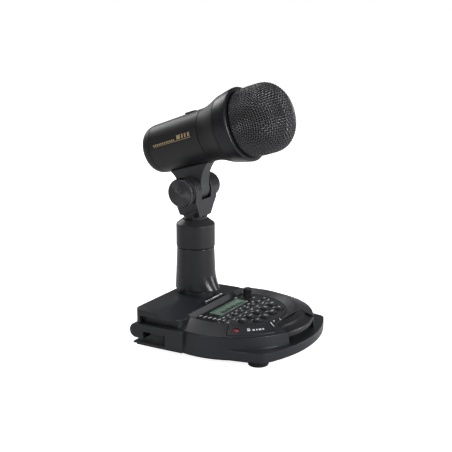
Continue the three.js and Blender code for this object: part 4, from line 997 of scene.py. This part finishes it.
def column():
    """A tapered shaft whose foot flares towards the front."""
    low, top = 47.3, 90.8
    around, up = 128, 40
    bm = bmesh.new()
    rings = []
    for k in range(up + 1):
        t = k / up
        z = low + (top - low) * t
        radius = 21.2 - 1.0 * min(1, t / 0.4) - (1.1 * (t - 0.4) / 0.6 if t > 0.4 else 0)
        flare = 5.2 * max(0, 1 - t / 0.36) ** 1.6
        ring = []
        for i in range(around):
            a = 2 * math.pi * i / around
            front = max(0, -math.sin(a)) ** 2
            ring.append(bm.verts.new((
                radius * math.cos(a) * (1 - 0.12 * front * (flare / 5.6)),
                radius * math.sin(a) - flare * front, z)))
        rings.append(ring)
    inner = []
    for z in (top, top - 0.6, top - 35):
        r = 12.9 if z == top else 12.3
        inner.append([bm.verts.new((r * math.cos(2 * math.pi * i / around),
                                    r * math.sin(2 * math.pi * i / around), z))
                      for i in range(around)])
    for a, b in zip(rings + inner, rings[1:] + inner):
        for i in range(around):
            j = (i + 1) % around
            bm.faces.new((a[i], a[j], b[j], b[i]))
    bm.faces.new(rings[0])
    bm.faces.new(inner[-1])
    bmesh.ops.recalc_face_normals(bm, faces=bm.faces)
    bevelled(bm, 0.6, 3, 50)
    made("column_shaft", moved(bm, at(0, COLUMN_Y)), cast_paint, "base", "column", "casting")


def lock_collar():
    shape = lathe([
        (12.3, 91.1), (19.2, 91.1, 0.5), (19.7, 91.9, 0.4), (19.7, 114.3, 0.5), (19.1, 115.1, 0.6),
        (13.2, 119.6, 0.5), (12.3, 119.6), (12.3, 91.1),
    ], 128)
    made("collar_ring", moved(shape, at(0, COLUMN_Y)), collar_paint, "collar", "lock_collar",
         "casting")


def yoke():
    neck = 126.6
    ear = [
        (-12, neck - 3), (12, neck - 3), *arc(0, PIVOT_Z, 13.6, 0, 180, 32),
    ]
    front_view = [
        (-11, neck - 3), (11, neck - 3), (15.5, neck + 6), (EAR_OUTER, PIVOT_Z - 11),
        (EAR_OUTER, 166), (-EAR_OUTER, 166), (-EAR_OUTER, PIVOT_Z - 11), (-15.5, neck + 6),
    ]
    across = moved(prism(front_view, -16, 16), Matrix.Rotation(math.pi / 2, 4, "X"))
    shape = carve(side_prism(ear, EAR_OUTER), [
        ("&", across),
        ("+", lathe([(0, 57.1), (12, 57.1), (12, neck), (0, neck)], 96, 0.3)),
        ("-", cross_cylinder(-8.5, 8.5, 0, PIVOT_Z, 15.6, 96)),
        ("-", block(-8.5, 8.5, -17.6, 17.6, PIVOT_Z, PIVOT_Z + 20)),
        ("-", cross_cylinder(-22, 22, 0, PIVOT_Z, 3.3, 32)),
    ], width=0.8, angle=32)
    made("fork", moved(shape, at(0, COLUMN_Y)), cast_paint, "yoke", "yoke", "casting")


def clamp():
    inner = -EAR_OUTER - 1.2
    outer = inner - 8.6
    teeth = 60

    def knurl(angle, radius):
        return radius - 0.55 * abs(math.sin(teeth * angle / 2)) if radius > 14.2 else radius

    knob = lathe([
        (3.3, inner), (13.6, inner, 0.4), (14.5, inner - 0.9, 0.3), (14.5, outer + 2.2, 0.3),
        (13.9, outer + 1.0, 0.3), (13.2, outer + 0.2, 0.3), (12.4, outer + 0.35, 0.2),
        (6.0, outer - 0.25, 0.3), (0, outer - 0.55),
        (0, inner - 4.9), (3.3, inner - 4.9), (3.3, inner),
    ], teeth * 6, 0.2, knurl)
    made("knob_dial", knob, turned_metal, "clamp", "clamp_knob", "turned", CLAMP)
    low = EAR_OUTER + 0.3
    high = low + 10.5
    cap = lathe([
        (3.3, low), (12.8, low, 0.4), (12.8, high - 3, 1.6), (9.8, high - 0.6, 1.2), (4, high, 1),
        (0, high), (0, low + 6), (3.3, low + 6), (3.3, low),
    ], 128)
    made("cap_boss", cap, cast_paint, "yoke", "clamp_cap", "casting", CLAMP)
    ring = lathe([(3.3, -20.9), (9, -20.9), (9, -20.3), (3.3, -20.3), (3.3, -20.9)], 64, 0.12)
    made("thrust_washer", ring, steel, "clamp", "clamp_washer", "steel", CLAMP)


# ---------------------------------------------------------------- microphone
TAIL_END, TAIL_JOINT, HEAD_JOINT, BAND_JOINT, LIP_END, GRILLE_END = -53, -40.5, 21, 45, 61.5, 109


def barrel_radius(station):
    return 24.9 + (26.8 - 24.9) * (station - TAIL_JOINT) / (HEAD_JOINT - TAIL_JOINT)


def mic_bodies():
    tail = lathe([
        (0, TAIL_END), (15, TAIL_END, 2), (19, TAIL_END + 1.2, 2), (22, TAIL_END + 3.6, 2),
        (24, TAIL_END + 7, 2), (24.9, TAIL_JOINT, 0.3), (20, TAIL_JOINT), (18, TAIL_END + 6),
        (0, TAIL_END + 4),
    ], 160)
    made("tail_shell", tail, cone_paint, "microphone", "tail_cap", "barrel", MICROPHONE)
    barrel = lathe([
        (22.9, TAIL_JOINT + 0.3), (24.9, TAIL_JOINT + 0.3, 0.4), (26.8, HEAD_JOINT - 0.3, 0.35),
        (24.8, HEAD_JOINT - 0.3), (22.9, TAIL_JOINT + 0.3),
    ], 160)
    made("barrel_shell", barrel, barrel_paint, "microphone", "barrel", "barrel", MICROPHONE)
    flare = [(26.8, HEAD_JOINT), (27.2, 24.2), (28.1, 28.4), (29.7, 33.0), (31.3, 36.9),
             (32.8, 40.4), (33.8, 43.2), (34.3, BAND_JOINT)]
    cone = lathe([(r - 2, s) for r, s in flare[::-1]] + [(r, s, 1.2) for r, s in flare]
                 + [(34.3 - 2, BAND_JOINT)], 160)
    made("cone_shell", cone, cone_paint, "microphone", "head_cone", "barrel", MICROPHONE)
    band = lathe([
        (30.3, BAND_JOINT + 0.3), (34.3, BAND_JOINT + 0.3, 0.3), (36.6, 56, 6),
        (37.1, LIP_END - 1.6, 0.5), (37.1, LIP_END - 0.2, 0.4), (35.9, LIP_END + 0.6, 0.3),
        (30, LIP_END + 0.6), (30.3, BAND_JOINT + 0.3),
    ], 192)
    made("band_shell", band, band_paint, "microphone", "head_band", "barrel", MICROPHONE)
    # A low selector tab on top of the barrel.
    tab = bevelled(prism(rounded_rectangle(9, 11, 2.5), 0, 1.7), 0.7)
    seat = Matrix.Translation((0, barrel_radius(4) - 0.5, 4)) @ Matrix.Rotation(-math.pi / 2, 4, "X")
    made("selector_tab", tab, cone_paint, "microphone", slot="barrel", place=MICROPHONE @ seat)


def barrel_mark(station, height, length, depth):
    """A thin printed bar on the barrel's left side, along the axis."""
    bm = bmesh.new()
    rows = []
    steps_along, steps_round = max(1, int(length / 2)), 3
    for i in range(steps_along + 1):
        s = station + length * i / steps_along
        radius = barrel_radius(s) + 0.06
        row = []
        for j in range(steps_round + 1):
            a = math.asin((height + depth * j / steps_round) / radius)
            row.append(bm.verts.new((-radius * math.cos(a), radius * math.sin(a), s)))
        rows.append(row)
    for a, b in zip(rows, rows[1:]):
        for j in range(steps_round):
            bm.faces.new((a[j], a[j + 1], b[j + 1], b[j]))
    bmesh.ops.solidify(bm, geom=bm.faces[:], thickness=0.05)
    bmesh.ops.recalc_face_normals(bm, faces=bm.faces)
    return bm


def barrel_marks():
    line = [barrel_mark(-34, 2.6, 47, 0.45)]
    for i in range(12):
        line.append(barrel_mark(-34 + i * 2.3, 3.6, 1.5, 1.7))
    for station, length in ((-4, 4.5), (2, 2.0), (5.6, 2.0), (9.4, 2.6)):
        line.append(barrel_mark(station, 4.0, length, 4.2))
    made("barrel_print", merged(*line), gold_print, "microphone", slot="barrel",
         place=MICROPHONE, weigh=False)


def grille_profile():
    """The grille's wall, from the middle of its dome back to the band, as (radius, station)."""
    line = [(0.0, GRILLE_END - 0.45), (5, 108.6), (10, 108.0), (15, 107.0), (20, 105.3),
            (25, 102.6), (29, 98.9), (31.6, 95.0), (33.0, 91.0), (33.5, 86), (33.5, 80),
            (33.5, 74), (33.0, 68), (32.2, 63.4)]
    lengths = [0.0]
    for (r0, s0), (r1, s1) in zip(line, line[1:]):
        lengths.append(lengths[-1] + math.hypot(r1 - r0, s1 - s0))
    return line, lengths


def grille_point(flat_x, flat_y, lift, line, lengths):
    """Lays a point of a flat round sheet over the dome, at the same distance from its middle."""
    reach = min(math.hypot(flat_x, flat_y), lengths[-1])
    angle = math.atan2(flat_y, flat_x)
    k = max(i for i in range(len(lengths) - 1) if lengths[i] <= reach)
    t = (reach - lengths[k]) / (lengths[k + 1] - lengths[k])
    (r0, s0), (r1, s1) = line[k], line[k + 1]
    run = math.hypot(r1 - r0, s1 - s0)
    out, forward = (s0 - s1) / run, (r1 - r0) / run
    radius = r0 + (r1 - r0) * t + out * lift
    station = s0 + (s1 - s0) * t + forward * lift
    return Vector((radius * math.cos(angle), radius * math.sin(angle), station))


def wire_tube(bm, points, radius, sides=5):
    """A thin tube along points."""
    rings = []
    for i, point in enumerate(points):
        along = (points[min(i + 1, len(points) - 1)] - points[max(i - 1, 0)]).normalized()
        out = Vector((point.x, point.y, 0.35 * (point.z - 70))).normalized()
        side = along.cross(out).normalized()
        up = side.cross(along)
        rings.append([
            bm.verts.new(point + radius * (math.cos(2 * math.pi * k / sides) * side
                                           + math.sin(2 * math.pi * k / sides) * up))
            for k in range(sides)
        ])
    for a, b in zip(rings, rings[1:]):
        for k in range(sides):
            bm.faces.new((a[k], a[(k + 1) % sides], b[(k + 1) % sides], b[k]))
    bm.faces.new(rings[0][::-1])
    bm.faces.new(rings[-1])


def woven_grille():
    line, lengths = grille_profile()
    reach = lengths[-1] - 0.2
    pitch, radius = 2.5, 0.46
    count = int(reach / pitch)
    bm = bmesh.new()
    for across in range(-count, count + 1):
        offset = across * pitch
        half = math.sqrt(max(0, reach**2 - offset**2))
        for direction in (0, 1):
            points = []
            steps = int(half / pitch)
            stations = [-half] + [k * pitch / 2 for k in range(-2 * steps, 2 * steps + 1)] + [half]
            for s in stations:
                parity = (across + direction) % 2
                lift = 0.42 * math.cos(math.pi * (s / pitch + parity))
                flat = (s, offset) if direction == 0 else (offset, s)
                points.append(grille_point(*flat, lift, line, lengths))
            wire_tube(bm, points, radius)
    bmesh.ops.recalc_face_normals(bm, faces=bm.faces)
    made("grille_weave", bm, wire_metal, "microphone", "grille", "mesh", MICROPHONE, weigh=False)


def windscreen():
    random.seed(7)
    outer = [(31.2, 62.8, 1), (31.7, 74, 3), (31.7, 86, 3), (29.6, 94.5, 3), (23.5, 101.2, 3),
             (14, 105.4, 3), (0, 106.4)]
    inner = [(0, 102.6), (13, 101.8, 3), (21, 98, 3), (26, 92.5, 3), (27.7, 86, 3), (27.7, 74, 3),
             (27.2, 62.8, 1), (31.2, 62.8)]
    bm = lathe([*outer, *inner][:-1] + [(31.2, 62.8)], 96)
    for vertex in bm.verts:
        vertex.co += vertex.co.normalized() * random.uniform(-0.12, 0.12)
    lining = made("foam_lining", bm, foam, "microphone", "windscreen", "foam", MICROPHONE)


def bracket():
    """The fan under the barrel, narrowing to the tongue between the yoke's ears."""
    foot, station, tongue = -47.6, -16, 12.6

    def curve(a, b, c, steps=16):
        return [(a[0] * (1 - t) ** 2 + b[0] * 2 * t * (1 - t) + c[0] * t * t,
                 a[1] * (1 - t) ** 2 + b[1] * 2 * t * (1 - t) + c[1] * t * t)
                for t in (i / steps for i in range(steps + 1))]

    front, rear = station + tongue, station - tongue
    outline = (
        curve((front, foot), (front + 3, foot + 14), (13, -25.6))
        + [(13, -19.6), (-34, -19.6)]
        + curve((-34, -25.6), (rear, foot + 16), (rear, foot))
        + arc(station, foot, tongue, 180, 360, 32)[1:-1]
    )
    shape = moved(prism(outline, -8, 8), Matrix.Rotation(-math.pi / 2, 4, "Y"))
    seat = lathe([(0, -38), (barrel_radius(-38) + 0.3, -38), (barrel_radius(16) + 0.3, 16), (0, 16)],
                 128, 0)
    bore = moved(cylinder(0, 0, -10, 10, 3.3, 32),
                 Matrix.Translation((0, foot, station)) @ Matrix.Rotation(math.pi / 2, 4, "Y"))
    shape = carve(shape, [("-", seat), ("-", bore)], width=0.9, angle=35)
    made("bracket_fan", shape, bracket_paint, "microphone", "microphone_bracket", "bracket",
         MICROPHONE)


# ---------------------------------------------------------------- connectors
def connectors():
    z = 17.3
    for name, x in (("radio_socket_left", -42), ("radio_socket_right", -20)):
        body = block(x - 7.5, x + 7.5, 32, 47, z - 7, z + 7)
        shape = carve(body, [
            ("-", block(x - 5.9, x + 5.9, 34, 48, z - 4, z + 3)),
            ("-", block(x - 1.8, x + 1.8, 34, 48, z - 6, z - 3)),
        ], width=0.4)
        made(name + "_shell", shape, knob_plastic, "base", name, "trim")
        pins = [block(x - 3.4 + 0.97 * k, x - 3.0 + 0.97 * k, 34.5, 44, z + 1.9, z + 2.3)
                for k in range(8)]
        made(name + "_contacts", merged(*pins), contact_gold, "base", slot="steel", weigh=False)
    for name, x, radius, bore in (("phones_socket", 12, 4.6, 1.8), ("power_socket", 40, 6, 3)):
        ring = lathe([
            (bore, -48), (radius - 0.4, -48, 0.3), (radius, -47.4), (radius, -32), (0, -32),
            (0, -34), (bore, -34), (bore, -48),
        ], 48, 0.2)
        made(name + "_shell", moved(ring, Matrix.Translation((x, 0, z)) @ Matrix.Rotation(math.pi / 2, 4, "X")),
             steel if name == "phones_socket" else knob_plastic, "base", name, "trim")


# ---------------------------------------------------------------- solids that stay as they are
KEPT = {
    "bottom_plate": plate_paint,
    "ballast_weight": cast_iron,
    "control_board": circuit_green,
    "encoder_body": inner_plastic,
    "transmit_bar_pin": inner_plastic,
    "transmit_switch": inner_plastic,
    "clamp_bolt": steel,
    "capsule_holder": inner_plastic,
    "dynamic_capsule": steel,
    "condenser_capsule": steel,
    "microphone_board": circuit_green,
}


def dress_kept_solids():
    for node, material in KEPT.items():
        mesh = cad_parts[node].data
        mesh.materials.clear()
        mesh.materials.append(material)


# ---------------------------------------------------------------- floor
def studio_backdrop():
    """White to look at, and dimmer as a light on the object."""
    wiring = Wiring(world.node_tree)
    backdrop = world.node_tree.nodes["Background"]
    backdrop.inputs["Color"].default_value = (1, 1, 1, 1)
    seen = wiring.add("ShaderNodeLightPath").outputs["Is Camera Ray"]
    wiring.feed(backdrop.inputs["Strength"], wiring.between(seen, 0.16, 1.0))


def floor():
    bm = bmesh.new()
    bmesh.ops.create_grid(bm, x_segments=2, y_segments=2, size=6)
    mesh = bpy.data.meshes.new("floor")
    bm.to_mesh(mesh)
    bm.free()
    paper = finish(
        "floor_paper", (0.8, 0.8, 0.8), roughness=0.9, bump=0.0, edge_wear=0.0, dust=0.0,
        grain_contrast=0.01, constants={"Emission Color": (1, 1, 1, 1)},
    )
    wiring = Wiring(paper.node_tree)
    seen = wiring.add("ShaderNodeLightPath").outputs["Is Camera Ray"]
    shader = paper.node_tree.nodes["Principled BSDF"]
    wiring.feed(shader.inputs["Emission Strength"], wiring.between(seen, 0.05, 0.9))
    mesh.materials.append(paper)
    ground = bpy.data.objects.new("floor", mesh)
    ground.location.z = -0.0005
    scene.collection.objects.link(ground)


lower_case()
top_cover()
feet()
badge()
control_panel()
display()
panel_marks()
keys()
tuning_knob()
transmit_bar()
lock_key()
plinth()
column()
lock_collar()
yoke()
clamp()
mic_bodies()
barrel_marks()
woven_grille()
windscreen()
bracket()
connectors()
dress_kept_solids()
studio_backdrop()
floor()
